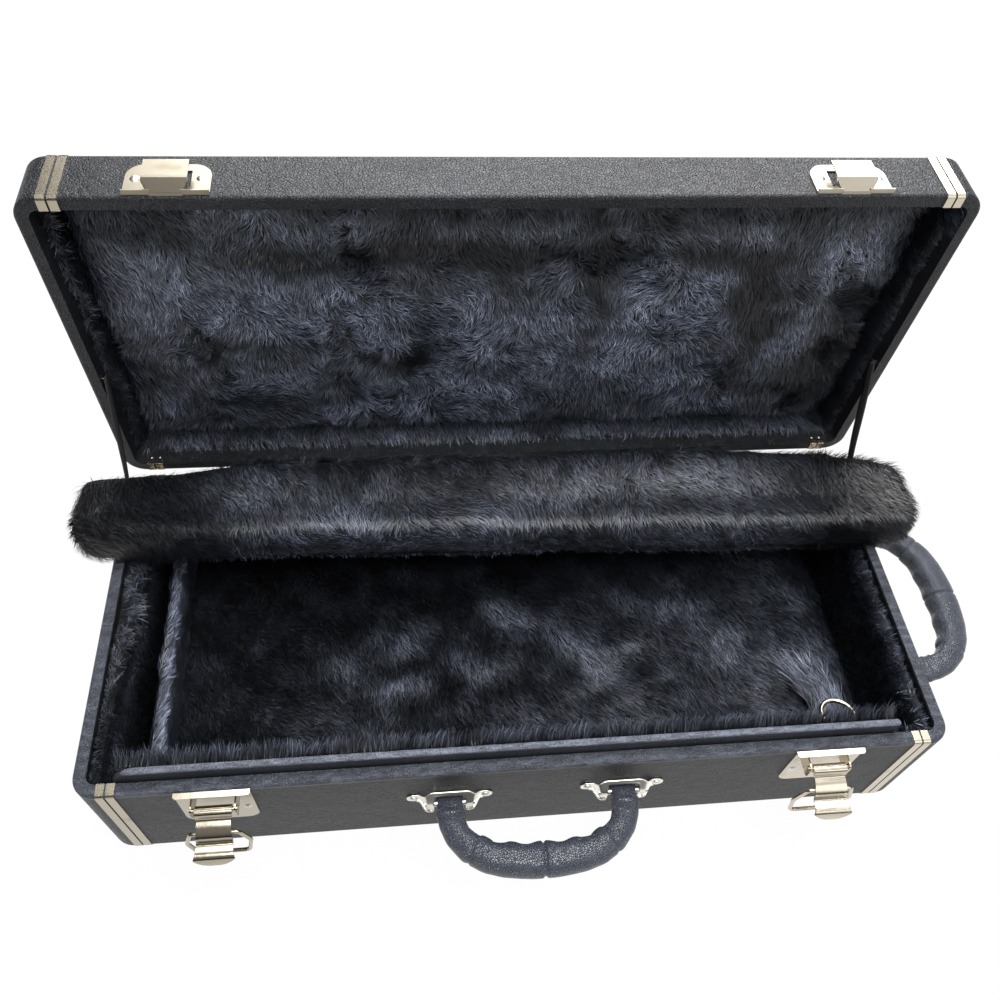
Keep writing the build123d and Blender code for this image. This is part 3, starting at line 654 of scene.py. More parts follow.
def wall_section(back, deep, low, high, crown):
    """One cut through a wall's pad as (in from the board, height, share of pile)."""
    section = [(back, low, 0.0)]
    for k in range(FACE_STEPS + 1):
        section.append((deep, low + (high - crown - low) * k / FACE_STEPS, float(k > 0)))
    for k in range(1, CROWN_STEPS):
        angle = math.pi / 2 * k / CROWN_STEPS
        fall = (deep - back) * 0.9 * (1 - math.cos(angle))
        section.append((deep - fall, high - crown + crown * math.sin(angle), 1.0))
    return section + [(back + 0.0001, high, 0.0)]


def ring_pad(heights, depths, marks, uneven, crown, seed):
    """A padded lining all round the walls: crowned along its free edge, flat at its back."""
    path, inward = rounded_rectangle(WALL_INSET, WALL_CORNER)
    reaches = [depths(spot) for spot in path]
    points, openness, loose = [], [], []
    for i, (spot, way, (back, deep)) in enumerate(zip(path, inward, reaches)):
        even = reaches[i - 1] == reaches[i] == reaches[(i + 1) % len(path)]
        steady = even or abs(deep - reaches[i - 1][1]) < 0.0015
        section = wall_section(back, deep, *heights, crown)
        for along, height, pile in section:
            points.append((*(spot + way * along), height))
            openness.append(pile if steady else 0.0)
            loose.append(float(pile > 0.5 and deep - back > 0.003))
    mesh = outward(mesh_of("ring_pad", points, tube_faces(len(path), len(section), closed=True)))
    places = points_of(mesh)
    rise = uneven * (0.5 + waves(places, 0.08, seed) * 0.6 + waves(places, 0.03, seed + 1) * 0.4)
    places = places - normals_of(mesh) * (np.array(loose) * np.clip(rise, 0, None))[:, None]
    move_points(mesh, places)
    mark(mesh, "pile", openness)
    # The brushed mark sets both how flat the pile lies and its painted sheen.
    mark(mesh, "brushed", marks(places) * (0.75 + 0.3 * waves(places, 0.05, seed + 5)) + 0.16)
    return rounded(mesh)


def body_wall_depths(spot):
    """Back and face of the body's wall lining, in from the board.

    It is thin behind the front lip, and thicker to the rear at the left end.
    """
    if spot[1] < LIP_REAR and LIP_ENDS[0] < spot[0] < LIP_ENDS[1]:
        return BEHIND_LIP
    back, deep = LINING_DEPTHS
    if spot[0] < LEFT_END:
        deep += LEFT_SWELL * min(max((spot[1] + 0.086) / 0.132, 0.0), 1.0)
    return back, deep


def body_wall_marks(places):
    """Brushed, with a painted sheen, along the upper edge and lower down on the left end; painted
    paler at the right end.
    """
    crown = share(places[:, 2], 0.078, 0.090)
    left = np.exp(-((places[:, 2] - 0.070) / 0.013) ** 2)
    # Painted light: the right end's pile lies flatter and paler all over.
    right = np.where(places[:, 0] > 0.27, 0.30, 0.0)
    return np.where(places[:, 0] < -0.27, np.maximum(left, crown * 0.35), np.maximum(crown, right))


def lid_wall_marks(places):
    """Brushed, with a painted sheen, along the edge that faces out of the lid, less at its two
    ends.
    """
    return share(places[:, 2], 0.128, 0.140) * np.where(np.abs(places[:, 0]) > 0.27, 0.25, 1.0)


def lid_wall_pad():
    """The lid's wall lining: made with the lid shut, bare over the body's lip, then opened."""
    pad = ring_pad(LID_WALL, lambda spot: LINING_DEPTHS, lid_wall_marks, uneven=0.0012,
                   crown=0.002, seed=27)
    places = points_of(pad)
    over_lip = (places[:, 1] < LIP_REAR) & (np.abs(places[:, 0]) < 0.275)
    pile = np.zeros(len(places))
    pad.attributes["pile"].data.foreach_get("value", pile)
    mark(pad, "pile", np.where(over_lip, 0.0, pile))
    places[:, 2] = sum(LID_WALL) - places[:, 2]
    move_points(pad, places)
    pad.flip_normals()
    pad.transform(OPEN_LID)
    pad.update()
    return pad


def strip_skin(low_edge, high_edge, steps):
    """A narrow skin between two lines, for a fringe to grow from, brushed for a pale painted sheen.
    """
    points = []
    for k in range(steps + 1):
        for start, end in (low_edge, high_edge):
            points.append([a + (b - a) * k / steps for a, b in zip(start, end)])
    faces = [(2 * k, 2 * k + 2, 2 * k + 3, 2 * k + 1) for k in range(steps)]
    mesh = mesh_of("strip_skin", points, faces)
    mark(mesh, "pile", np.ones(len(mesh.vertices)))
    mark(mesh, "brushed", 0.62 + 0.35 * waves(points_of(mesh), 0.05, 77))
    return mesh


# ---- straps ----

STRAP_LOW = (0.2893, 0.080, 0.1005)
STRAP_HIGH = (0.2893, 0.13615, 0.21249)
STRAP_STEPS = 60
STRAP_HALF_WIDTH = 0.0045
STRAP_HALF_THICK = 0.00035
STRAP_BOW = 0.0012  # inwards, at its middle
STRAP_SLACK = 0.0015  # front to rear


def strap_mesh(name, sign):
    """A flat tape from the body's stud up to the lid's, bowed a little."""
    low = Vector((sign * STRAP_LOW[0], *STRAP_LOW[1:]))
    high = Vector((sign * STRAP_HIGH[0], *STRAP_HIGH[1:]))
    along = (high - low).normalized()
    across = Vector((0.0, along.z, -along.y))
    thick = Vector((sign * STRAP_HALF_THICK, 0.0, 0.0))
    points = []
    for t in (k / STRAP_STEPS for k in range(STRAP_STEPS + 1)):
        ease = math.sin(math.pi * t)
        spot = low + (high - low) * t + along * ((t - 0.5) * 0.005)
        spot += Vector((-sign * STRAP_BOW * ease, 0.0, 0.0))
        spot += across * STRAP_SLACK * ease * math.sin(5 * t)
        twist = 0.35 * ease * math.sin(2.2 * math.pi * t) * 0.25
        wide = across * math.cos(twist) + Vector((sign * math.sin(twist), 0.0, 0.0))
        for side in (-1, 1):
            for half in (-1, -0.33, 0.33, 1):
                across_tape = wide * (half * side * STRAP_HALF_WIDTH)
                points.append(spot + across_tape + thick * side)
    return rounded(outward(mesh_of(name, points, tube_faces(STRAP_STEPS + 1, 8))))


# ---- the bolster ----

BOLSTER_TURN = math.radians(-1.6)
BOLSTER_HALF = 0.3205
BOLSTER_Y = 0.067
BOLSTER_FLOOR = 0.1066  # the rims that it lies on
BOLSTER_END = 0.016
BOLSTER_TIP = 0.62  # share of the section that is left at the very end
BOLSTER_FORWARD = 0.0006
STRAP_CLEAR = 0.0067  # room between the bolster and a strap's line
STRAP_SLOPE = 0.5015  # a strap's way rearwards for each metre up
RIM_X = 0.292  # past this, the bolster lies on the end walls' rims
END_STEPS = 10
SPAN_STEPS = 170
AROUND_BOLSTER = 72
BOLSTER_SECTION = (
    # front to rear, height
    (0.0405, 0.1065), (0.0760, 0.1065), (0.0955, 0.1415), (0.0935, 0.1475), (0.0440, 0.1475),
    (0.0390, 0.1335),
)


def bolster_outline(inset, corner):
    """The bolster's section as evenly spread points, its corners rounded off."""
    corners = np.array(BOLSTER_SECTION)
    middle = corners.mean(axis=0)
    curve = []
    for i, here in enumerate(corners):
        before = corners[i - 1] - here
        after = corners[(i + 1) % len(corners)] - here
        cut = min(corner, 0.45 * np.linalg.norm(before), 0.45 * np.linalg.norm(after))
        start = here + before / np.linalg.norm(before) * cut
        end = here + after / np.linalg.norm(after) * cut
        for t in (k / 6 for k in range(7)):
            curve.append(start * (1 - t) ** 2 + here * 2 * t * (1 - t) + end * t ** 2)
    curve = np.array(curve + [curve[0]])
    run = np.concatenate(((0,), np.cumsum(np.linalg.norm(np.diff(curve, axis=0), axis=1))))
    at = np.linspace(0, run[-1], AROUND_BOLSTER, endpoint=False)
    points = np.column_stack([np.interp(at, run, curve[:, c]) for c in (0, 1)])
    pull = points - middle
    return points - pull / np.linalg.norm(pull, axis=1)[:, None] * inset, middle


def lay_bolster(places):
    """Turns the bolster a little askew and keeps its rear clear of the straps."""
    c, s = math.cos(BOLSTER_TURN), math.sin(BOLSTER_TURN)
    x = places[:, 0]
    y = places[:, 1] - BOLSTER_Y
    rearward = x * s + y * c + BOLSTER_Y - BOLSTER_FORWARD
    laid = np.column_stack((x * c - y * s, rearward, places[:, 2]))
    strap_y = STRAP_LOW[1] - STRAP_CLEAR + (laid[:, 2] - STRAP_LOW[2]) * STRAP_SLOPE
    near_strap = share(np.abs(laid[:, 0]), 0.20, 0.26)
    laid[:, 1] -= np.clip(laid[:, 1] - strap_y, 0.0, None) * near_strap
    return laid


def bolster_skin():
    """The bolster's cloth: a slack rounded bar, a little lumpy, rounded off at its ends."""
    outline, middle = bolster_outline(inset=0.0008, corner=0.009)
    stations = []
    for k in range(END_STEPS + 1):
        angle = math.pi / 2 * k / END_STEPS
        x = -BOLSTER_HALF + BOLSTER_END * (1 - math.cos(angle))
        size = BOLSTER_TIP + (1 - BOLSTER_TIP) * math.sin(angle)
        stations += [(x, size), (-x, size)]
    start, span = -BOLSTER_HALF + BOLSTER_END, 2 * (BOLSTER_HALF - BOLSTER_END)
    stations += [(start + span * k / SPAN_STEPS, 1.0) for k in range(1, SPAN_STEPS)]
    stations.sort()
    points = []
    for x, size in stations:
        points += [(x, *spot) for spot in middle + (outline - middle) * size]
    mesh = outward(mesh_of("bolster_skin", points, tube_faces(len(stations), AROUND_BOLSTER)))
    places = points_of(mesh)
    normals = normals_of(mesh)
    lumps = 0.0010 * waves(places, 0.11, 31) + 0.0005 * waves(places, 0.035, 32)
    places = places + normals * np.clip(lumps, -0.0011, 0.0007)[:, None]
    places[:, 2] = np.maximum(places[:, 2], BOLSTER_FLOOR)
    resting = (normals[:, 2] < -0.6) & (np.abs(places[:, 0]) > RIM_X)
    middle_swell = np.clip(1 - (np.abs(places[:, 0] - 0.03) / 0.29) ** 4, 0.0, 1.0)
    right_swell = middle_swell * share(places[:, 0], 0.0, 0.12)
    rear_top = share(places[:, 1], BOLSTER_Y, BOLSTER_Y + 0.02) * share(places[:, 2], 0.125, 0.145)
    places[:, 1] += (0.0085 * middle_swell + 0.0050 * right_swell) * rear_top
    places[:, 2] += (0.0050 * middle_swell + 0.0015 * right_swell) * rear_top
    move_points(mesh, lay_bolster(places))
    mark(mesh, "pile", np.where(resting, 0.0, 1.0))
    return rounded(mesh)


# ---- grips and their brackets ----

HANDLES = (
    ("front", Matrix.Translation((0.0065, -0.132, 0.066)), ("left", "right")),
    ("side", Matrix.Translation((0.300, -0.006, 0.086)) @ Matrix.Rotation(math.pi / 2, 4, "Z"),
     ("front", "rear")),
)
BRACKET_X = 0.0615  # from a handle's middle to each of its brackets
GRIP_STATIONS = (
    # in millimetres: along the handle, out from the wall, half width, half height
    (61.5, 1.1, 9.2, 0.8), (61.5, 1.6, 9.3, 2.2), (61.5, 2.7, 9.4, 3.6), (61.5, 4.2, 9.4, 4.4),
    (61.5, 6.0, 9.4, 4.6), (61.5, 10.4, 9.4, 4.7), (61.5, 11.6, 10.2, 5.5), (61.5, 13.2, 10.5, 5.9),
    (61.3, 14.8, 10.0, 5.6), (60.9, 17.0, 9.6, 6.0), (60.3, 20.1, 9.8, 6.8),
    (56.5, 28.6, 10.1, 8.3), (48.5, 37.6, 10.5, 9.4), (37.5, 43.6, 11.0, 10.0),
    (26.5, 46.4, 11.5, 10.4), (17.0, 47.6, 11.7, 10.5), (8.5, 48.2, 12.0, 10.6),
    (0.0, 48.4, 12.0, 10.6),
)
GRIP_STEPS = 330
AROUND_GRIP = 56
STRAIGHT_END = 14  # millimetres at each end that stay unsmoothed
STRAIGHT_STEPS = 12
PIVOT_OUT = 5.6
PIVOT_ROUND = 4.75
MIDDLE_GROOVE = 1.5  # as a share of a seam
SEAM_AT = 47.0
FINGER_START = 2.0
FINGER_PITCH = 21.0
OVAL = (0.86, 0.9)  # powers that square the section a little


def grip_mesh(name, place, seam_depth, scallop):
    """A moulded grip: swept oval with end beads, a middle groove, side seams and scallops."""
    right = np.array(GRIP_STATIONS)
    left = right[-2::-1] * np.array((-1, 1, 1, 1))
    knots = np.vstack((right, left))
    run = np.concatenate(((0,), np.cumsum(np.hypot(*np.diff(knots[:, :2], axis=0).T))))
    at = np.linspace(0, run[-1], GRIP_STEPS)
    values = np.column_stack([np.interp(at, run, knots[:, c]) for c in range(4)])
    keep = (np.abs(at[1:-1] - run[-1] / 2) > run[-1] / 2 - STRAIGHT_END)[:, None]
    for _ in range(5):
        inner = values[1:-1] * 0.5 + (values[2:] + values[:-2]) * 0.25
        values[1:-1] = np.where(keep, values[1:-1], inner)
    tangent = np.gradient(values[:, :2], axis=0)
    tangent[:STRAIGHT_STEPS] = (0.0, 1.0)
    tangent[-STRAIGHT_STEPS:] = (0.0, -1.0)
    tangent /= np.linalg.norm(tangent, axis=1)[:, None]
    turns = [2 * math.pi * k / AROUND_GRIP for k in range(AROUND_GRIP)]
    points = []
    for (x, out, wide, tall), (along, away) in zip(values, tangent):
        if out < PIVOT_OUT:
            tall = min(tall, math.sqrt(max(PIVOT_ROUND ** 2 - (out - PIVOT_OUT) ** 2, 0.3)))
        groove = 1.0
        if out > 20:
            groove -= seam_depth * MIDDLE_GROOVE * math.exp(-((x / 1.1) ** 2))
            for seam in (-SEAM_AT, SEAM_AT):
                groove -= seam_depth * math.exp(-(((x - seam) / 0.9) ** 2))
        for c, s in ((math.cos(turn), math.sin(turn)) for turn in turns):
            flat = wide * groove
            if out > 22 and c < 0:
                finger = (abs(x) - FINGER_START) / FINGER_PITCH
                flat -= scallop * (0.5 - 0.5 * math.cos(2 * math.pi * finger)) * c * c
            flat *= math.copysign(abs(c) ** OVAL[0], c)
            upward = math.copysign(abs(s) ** OVAL[1], s)
            points.append(((x + away * flat) * MM, -(out - along * flat) * MM,
                           tall * groove * upward * MM))
    mesh = mesh_of(name, points, tube_faces(GRIP_STEPS, AROUND_GRIP))
    mesh.transform(place)
    return rounded(outward(mesh))


def tube(work, path, radius, sides=10):
    """A closed round bead along a path, added to a bmesh."""
    front = Vector((0, -1, 0))
    rings = []
    for i, spot in enumerate(path):
        way = (path[min(i + 1, len(path) - 1)] - path[max(i - 1, 0)]).normalized()
        out = (front - way * way.dot(front)).normalized()
        side = way.cross(out)
        size = radius * (0.55 if i in (0, len(path) - 1) else 1.0)
        rings.append([
            work.verts.new(spot + (out * math.cos(a) + side * math.sin(a)) * size)
            for a in (2 * math.pi * k / sides for k in range(sides))
        ])
    for first, second in zip(rings, rings[1:]):
        for k in range(sides):
            m = (k + 1) % sides
            work.faces.new((first[k], first[m], second[m], second[k]))
    work.faces.new(list(reversed(rings[0])))
    work.faces.new(rings[-1])


EAR_X = 0.0262
EAR_HALF = 0.0050
BRACKET_HALF = 0.0090
SHEET = 0.0011  # how far the flat of the bracket stands out
SHEET_THICK = 0.0010
RIM_START = 0.0116
RIM_LENGTH = 0.0121
RIM_STEPS = 18
RIM_RADIUS = 0.00095
HOOD_OUT = 0.0066
WINDOW = 0.0111  # half the width of the opening that the grip comes through
BRACKET_COLUMNS = (
    0.0, 0.005, WINDOW, 0.0120, 0.0132, 0.0145, 0.0155, 0.0165, 0.0175, 0.0185, 0.0195, 0.0205,
    0.0215, 0.023, 0.0245, EAR_X, 0.0272, 0.0282, 0.0290, 0.0296, 0.0300,
)
BRACKET_ROWS = (
    0.0, 0.04, 0.09, 0.1444, 0.2, 0.26, 0.32, 0.38, 0.45, 0.52, 0.6, 0.68, 0.76, 0.84, 0.88, 0.92,
    0.96, 1.0,
)
TOP_ROWS = 3  # rows that stay whole above the window


def bracket_rise(x, z):
    """How far the bracket's face stands out at a place, in its own frame."""
    across = min(max((0.0216 - abs(x)) / 0.0060, 0.0), 1.0)
    down = min(max((BRACKET_HALF - z) / 0.0078, 0.0), 1.0)
    return SHEET + HOOD_OUT * across ** 2 * (3 - 2 * across) * (1.1 * down - 0.1 * down ** 3)


def bracket_half_height(x):
    """Half the bracket's height: full at the window, narrow and rounded at its ears."""
    reach = abs(x)
    if reach > EAR_X:
        return EAR_HALF * math.sqrt(max(1 - ((reach - EAR_X) / 0.0038) ** 2, 0.02))
    t = min(max((reach - 0.0120) / 0.0110, 0.0), 1.0)
    return BRACKET_HALF - (BRACKET_HALF - EAR_HALF) * t * t * (3 - 2 * t)


def bracket_mesh(name, place):
    """A pressed bracket: two ears, a raised hood with a window, a rolled lower rim."""
    columns = sorted({sign * x for sign in (-1, 1) for x in BRACKET_COLUMNS})
    work = bmesh.new()
    grid = []
    for x in columns:
        heights = [bracket_half_height(x) * (1 - 2 * row) for row in BRACKET_ROWS]
        grid.append([work.verts.new((x, -bracket_rise(x, z), z)) for z in heights])
    for i in range(len(columns) - 1):
        in_window = abs(columns[i] + columns[i + 1]) / 2 < WINDOW
        for k in range(TOP_ROWS if in_window else len(BRACKET_ROWS) - 1):
            work.faces.new((grid[i][k], grid[i][k + 1], grid[i + 1][k + 1], grid[i + 1][k]))
    loose = [vert for vert in work.verts if not vert.link_faces]
    bmesh.ops.delete(work, geom=loose, context="VERTS")
    bmesh.ops.solidify(work, geom=work.faces[:], thickness=SHEET_THICK)
    for vert in work.verts:
        vert.co.y = min(vert.co.y, -0.0001)
    for sign in (-1, 1):
        rim = []
        for k in range(RIM_STEPS + 1):
            x = sign * (RIM_START + RIM_LENGTH * k / RIM_STEPS)
            half = bracket_half_height(x)
            rim.append(Vector((x, -bracket_rise(x, -half) - 0.0002, -half + 0.0007)))
        tube(work, rim, RIM_RADIUS)
    mesh = bpy.data.meshes.new(name)
    work.to_mesh(mesh)
    work.free()
    mesh.transform(place)
    return rounded(outward(mesh))


RIVET_OUT = 0.0252  # from a bracket's middle to the rivet in each ear
RIVET_RADIUS = 0.0029
RIVET_HEIGHT = 0.0019
RIVET_SIDES = 20
RIVET_ANGLES = (0.0, 0.45, 0.85, 1.2)


def rivet_mesh(name):
    """The domed rivets in the ears of both handles' brackets."""
    n = RIVET_SIDES
    points, faces = [], []
    for _side, middle, _ends in HANDLES:
        for bracket, ear in itertools.product((-BRACKET_X, BRACKET_X), (-RIVET_OUT, RIVET_OUT)):
            centre = Vector((bracket + ear, -0.0008, 0.0))
            start = len(points)
            dome = [Vector(), Vector((0, -RIVET_HEIGHT, 0))]
            for angle in RIVET_ANGLES:
                wide, out = RIVET_RADIUS * math.cos(angle), RIVET_HEIGHT * math.sin(angle)
                for turn in (2 * math.pi * k / n for k in range(n)):
                    dome.append(Vector((wide * math.cos(turn), -out, wide * math.sin(turn))))
            points += [middle @ (centre + spot) for spot in dome]
            for k in range(n):
                m = (k + 1) % n
                faces.append((start, start + 2 + k, start + 2 + m))
                for ring in range(len(RIVET_ANGLES) - 1):
                    low = start + 2 + ring * n
                    faces.append((low + k, low + n + k, low + n + m, low + m))
                last = start + 2 + (len(RIVET_ANGLES) - 1) * n
                faces.append((start + 1, last + m, last + k))
    return rounded(outward(mesh_of(name, points, faces)))


# ---- settings ----

class ShellSettings(bpy.types.PropertyGroup):
    """The vinyl outside."""

    vinyl_colour: bpy.props.FloatVectorProperty(
        name="Vinyl", description="Colour of the covering", subtype="COLOR", size=3, min=0.0,
        max=1.0, default=(0.0080, 0.0086, 0.0105),
    )
    # Also the base of the vinyl's painted rim highlights and of the lip's painted highlight.
    worn_colour: bpy.props.FloatVectorProperty(
        name="Rubbed vinyl", description="Colour of the raised grain where it is rubbed",
        subtype="COLOR", size=3, min=0.0, max=1.0, default=(0.030, 0.033, 0.041),
    )
    grain_height: bpy.props.FloatProperty(
        name="Grain height", description="Depth of the vinyl's grain", unit="LENGTH",
        default=0.00035, min=0.0, max=0.002, precision=5,
    )


class MetalSettings(bpy.types.PropertyGroup):
    """The plated fittings."""

    nickel_colour: bpy.props.FloatVectorProperty(
        name="Nickel", description="Colour of the plating", subtype="COLOR", size=3, min=0.0,
        max=1.0, default=(0.42, 0.375, 0.295),
    )
    nickel_roughness: bpy.props.FloatProperty(
        name="Nickel roughness", description="How dull the plating is", subtype="FACTOR",
        default=0.16, min=0.0, max=1.0,
    )


class PlushSettings(bpy.types.PropertyGroup):
    """The long-pile lining."""

    pile_length: bpy.props.FloatProperty(
        name="Pile length", description="Length of one hair", unit="LENGTH", default=0.0125,
        min=0.002, max=0.03,
    )
    pile_width: bpy.props.FloatProperty(
        name="Hair width", description="Width of one hair at its root", unit="LENGTH",
        default=0.00062, min=0.0002, max=0.004, precision=5,
    )
    pile_density: bpy.props.FloatProperty(
        name="Hairs per square metre", description="How thickly the hairs stand", default=720000.0,
        min=1000.0, max=900000.0,
    )
    # Near-black roots paint the shade among the hairs; the pale tips carry the painted sheen.
    root_colour: bpy.props.FloatVectorProperty(
        name="Root", description="Colour at the roots", subtype="COLOR", size=3, min=0.0, max=1.0,
        default=(0.0015, 0.0017, 0.0025),
    )
    tip_colour: bpy.props.FloatVectorProperty(
        name="Tip", description="Colour at the tips", subtype="COLOR", size=3, min=0.0, max=1.0,
        default=(0.335, 0.382, 0.515),
    )
    seed: bpy.props.IntProperty(name="Seed", description="Fixes where the hairs stand", default=3)


class GripSettings(bpy.types.PropertyGroup):
    """The two carrying grips."""

    grip_colour: bpy.props.FloatVectorProperty(
        name="Grip", description="Colour of the moulding", subtype="COLOR", size=3, min=0.0,
        max=1.0, default=(0.028, 0.033, 0.046),
    )
    pale_colour: bpy.props.FloatVectorProperty(
        name="High spots", description="Colour of the raised grain", subtype="COLOR", size=3,
        min=0.0, max=1.0, default=(0.060, 0.067, 0.090),
    )
    seam_depth: bpy.props.FloatProperty(
        name="Seam depth", description="Share of the thickness that a seam takes", subtype="FACTOR",
        default=0.085, min=0.0, max=0.5,
    )
    scallop: bpy.props.FloatProperty(
        name="Finger scallop", description="Depth of the finger hollows, in millimetres",
        default=2.2, min=0.0, max=5.0,
    )


class StageSettings(bpy.types.PropertyGroup):
    """Camera, lamps and floor."""

    lens: bpy.props.FloatProperty(
        name="Lens", description="Focal length on a 36 mm sensor, in millimetres", default=32.887,
        min=10.0, max=200.0,
    )
    key_power: bpy.props.FloatProperty(
        name="Key lamp", description="Power of the lamp above the front", unit="POWER",
        default=30.0, min=0.0,
    )
    top_power: bpy.props.FloatProperty(
        name="Top lamp", description="Power of the lamp above the lid", unit="POWER", default=30.0,
        min=0.0,
    )
    back_power: bpy.props.FloatProperty(
        name="Back lamp", description="Power of the broad lamp behind the lid", unit="POWER",
        default=52.0, min=0.0,
    )
    fill_power: bpy.props.FloatProperty(
        name="Fill lamp", description="Power of the lamp beside the camera", unit="POWER",
        default=5.0, min=0.0,
    )
    sky: bpy.props.FloatProperty(
        name="Room light", description="Strength of the even light of the room", default=0.24,
        min=0.0, max=2.0,
    )


class CaseSettings(bpy.types.PropertyGroup):
    """Everything a user would change."""

    shell: bpy.props.PointerProperty(
        type=ShellSettings, name="Shell", description="The vinyl outside",
    )
    metal: bpy.props.PointerProperty(
        type=MetalSettings, name="Metal", description="The plated fittings",
    )
    plush: bpy.props.PointerProperty(
        type=PlushSettings, name="Plush", description="The long-pile lining",
    )
    grip: bpy.props.PointerProperty(
        type=GripSettings, name="Grips", description="The carrying grips",
    )
    stage: bpy.props.PointerProperty(
        type=StageSettings, name="Stage", description="Camera, lamps and floor",
    )


def settings(context):
    return context.scene.trumpet_case


# ---- operators ----

COVERINGS = (
    # finish, covering, gain of both colours, gain of the grain, rims with a painted highlight,
    # shine
    # A colour gain below 1 paints shade (the body's sides), above 1 a painted highlight (the lip).
    ("body_vinyl", "body_side", 0.5, 1.0, 1.0, ((2, 0.1020, 0.1045),), 0.25),
    ("base_vinyl", "body_base", 1.0, 1.0, 1.0, (), 0.32),
    ("lid_vinyl", "lid_side", 1.0, 1.0, 1.0, ((1, 0.1388, 0.1374), (2, 0.3765, 0.3795)), 0.32),
    ("top_vinyl", "lid_top", 1.0, 1.0, 1.0, (), 0.32),
    ("lip_vinyl", "front_lip", 3.0, 2.2, 1.2, ((2, 0.1140, 0.1175),), 0.32),
)


class CASE_OT_shell(bpy.types.Operator):
    """Give the boards and the vinyl covering their finishes."""

    bl_idname = "trumpet_case.shell"
    bl_label = "Shell"

    def execute(self, context):
        chosen = settings(context).shell
        for name, covering, dark, pale, grain, rim_highlights, shine in COVERINGS:
            tones = tone(chosen.vinyl_colour, dark), tone(chosen.worn_colour, pale)
            finish = vinyl_finish(name, *tones, chosen.grain_height * grain, rim_highlights, shine)
            paint(finish, covering + "_covering")
        paint(wood_finish(), *named("body_frame", "body_floor_panel", "lid_frame", "lid_top_panel",
                                    "front_lip_board", "end_divider_board"))
        return {"FINISHED"}


def dress(piece, slot, body, *nodes):
    """Says which CAD nodes a piece replaces and the body that it rides on; its slot is not used."""
    if nodes:
        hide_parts(*nodes)
    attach(piece, body)
    return piece


class CASE_OT_fittings(bpy.types.Operator):
    """Give the bands, latches, catches, brackets, nails and hinges their finishes."""

    bl_idname = "trumpet_case.fittings"
    bl_label = "Metal fittings"

    def execute(self, context):
        chosen = settings(context).metal
        plate, rough = chosen.nickel_colour, chosen.nickel_roughness
        bright = nickel_finish("rivet_nickel", (0.66, 0.65, 0.63), 0.34)
        pressed = nickel_finish("bracket_nickel", (0.72, 0.69, 0.62), 0.26)
        for finish, starts in (
            (nickel_finish("warm_nickel", plate, rough),
             ("latch_", "catch_", "front_handle_bracket", "side_handle_bracket", "strap_studs",
              "lining_ring")),
            (bright, ("latch_rivets", "catch_rivets")),
            # Painted shade: the catch plates get a darker, duller copy of the plating that tones
            # down their reflection.
            (nickel_finish("catch_nickel", tone(plate, 0.62), rough + 0.14), ("catch_plate_",)),
            (nickel_finish("band_nickel", plate, rough + 0.08), ("body_band", "lid_band")),
            (steel_finish(), ("hinge_", "front_handle_axles", "side_handle_axles",
                              "front_handle_core", "side_handle_core")),
        ):
            paint(finish, *named(*starts))
        for side, middle, ends in HANDLES:
            for x, end in zip((-BRACKET_X, BRACKET_X), ends):
                name = "{}_bracket_{}".format(side, end)
                mesh = bracket_mesh(name, middle @ Matrix.Translation((x, 0, 0)))
                piece = add_object(name, mesh, pressed)
                dress(piece, "nickel", "case_body", "{}_handle_bracket_{}".format(side, end))
        heads = add_object("bracket_rivet_heads", rivet_mesh("bracket_rivet_heads"), bright)
        dress(heads, "nickel", "case_body", "handle_bracket_rivets")
        return {"FINISHED"}


class CASE_OT_grips(bpy.types.Operator):
    """Model both moulded grips."""

    bl_idname = "trumpet_case.grips"
    bl_label = "Grips"

    def execute(self, context):
        chosen = settings(context).grip
        finish = grip_finish(chosen.grip_colour, chosen.pale_colour)
        for side, place, _ends in HANDLES:
            name = side + "_grip_moulding"
            mesh = grip_mesh(name, place, chosen.seam_depth, chosen.scallop)
            dress(add_object(name, mesh, finish), "grip", side + "_grip", side + "_handle_grip")
        return {"FINISHED"}


PILES = {
    # body, comb, wander, patch scale, steep lean, flat lean, seed, length, pieces
    "floor_pile": ("case_body", (0.5, -1.0, 0.0), 3.0, 14.0, 0.5, 1.15, 11, 1.0, 3),
    "wall_pile": ("case_body", (0.3, 0.0, 1.0), 2.0, 18.0, 0.5, 1.1, 41, 1.0, 3),
    "lip_fringe": ("case_body", (0.35, 0.0, 1.0), 1.3, 30.0, 0.15, 0.55, 51, 1.25, 1),
    "end_fringe": ("case_body", (0.0, -0.4, 1.0), 1.3, 30.0, 0.15, 0.6, 57, 1.1, 1),
    "corner_tuft": ("case_body", (-0.35, 1.0, 0.0), 2.2, 45.0, 0.7, 1.05, 55, 2.2, 1),
    "divider_pile": ("case_body", (0.5, 1.0, 0.3), 1.2, 25.0, 0.7, 1.2, 61, 0.8, 1),
    "lid_panel_pile": ("lid", (0.25, 0.0, -0.8), 5.5, 20.0, 0.6, 1.15, 81, 0.78, 3),
    "lid_corner_fringe": ("lid", (0.0, -1.0, -0.4), 1.4, 24.0, 0.7, 1.2, 97, 1.7, 1),
    "lid_wall_pile": ("lid", (0.2, -1.0, -0.2), 2.0, 18.0, 0.7, 1.15, 91, 0.85, 1),
    "bolster_pile": ("bolster", (0.6, -1.0, -0.3), 4.0, 15.0, 0.85, 1.22, 101, 0.85, 3),
    "bolster_ridge": ("bolster", (0.5, 1.0, 0.6), 1.2, 24.0, 0.2, 0.7, 131, 1.05, 1),
}
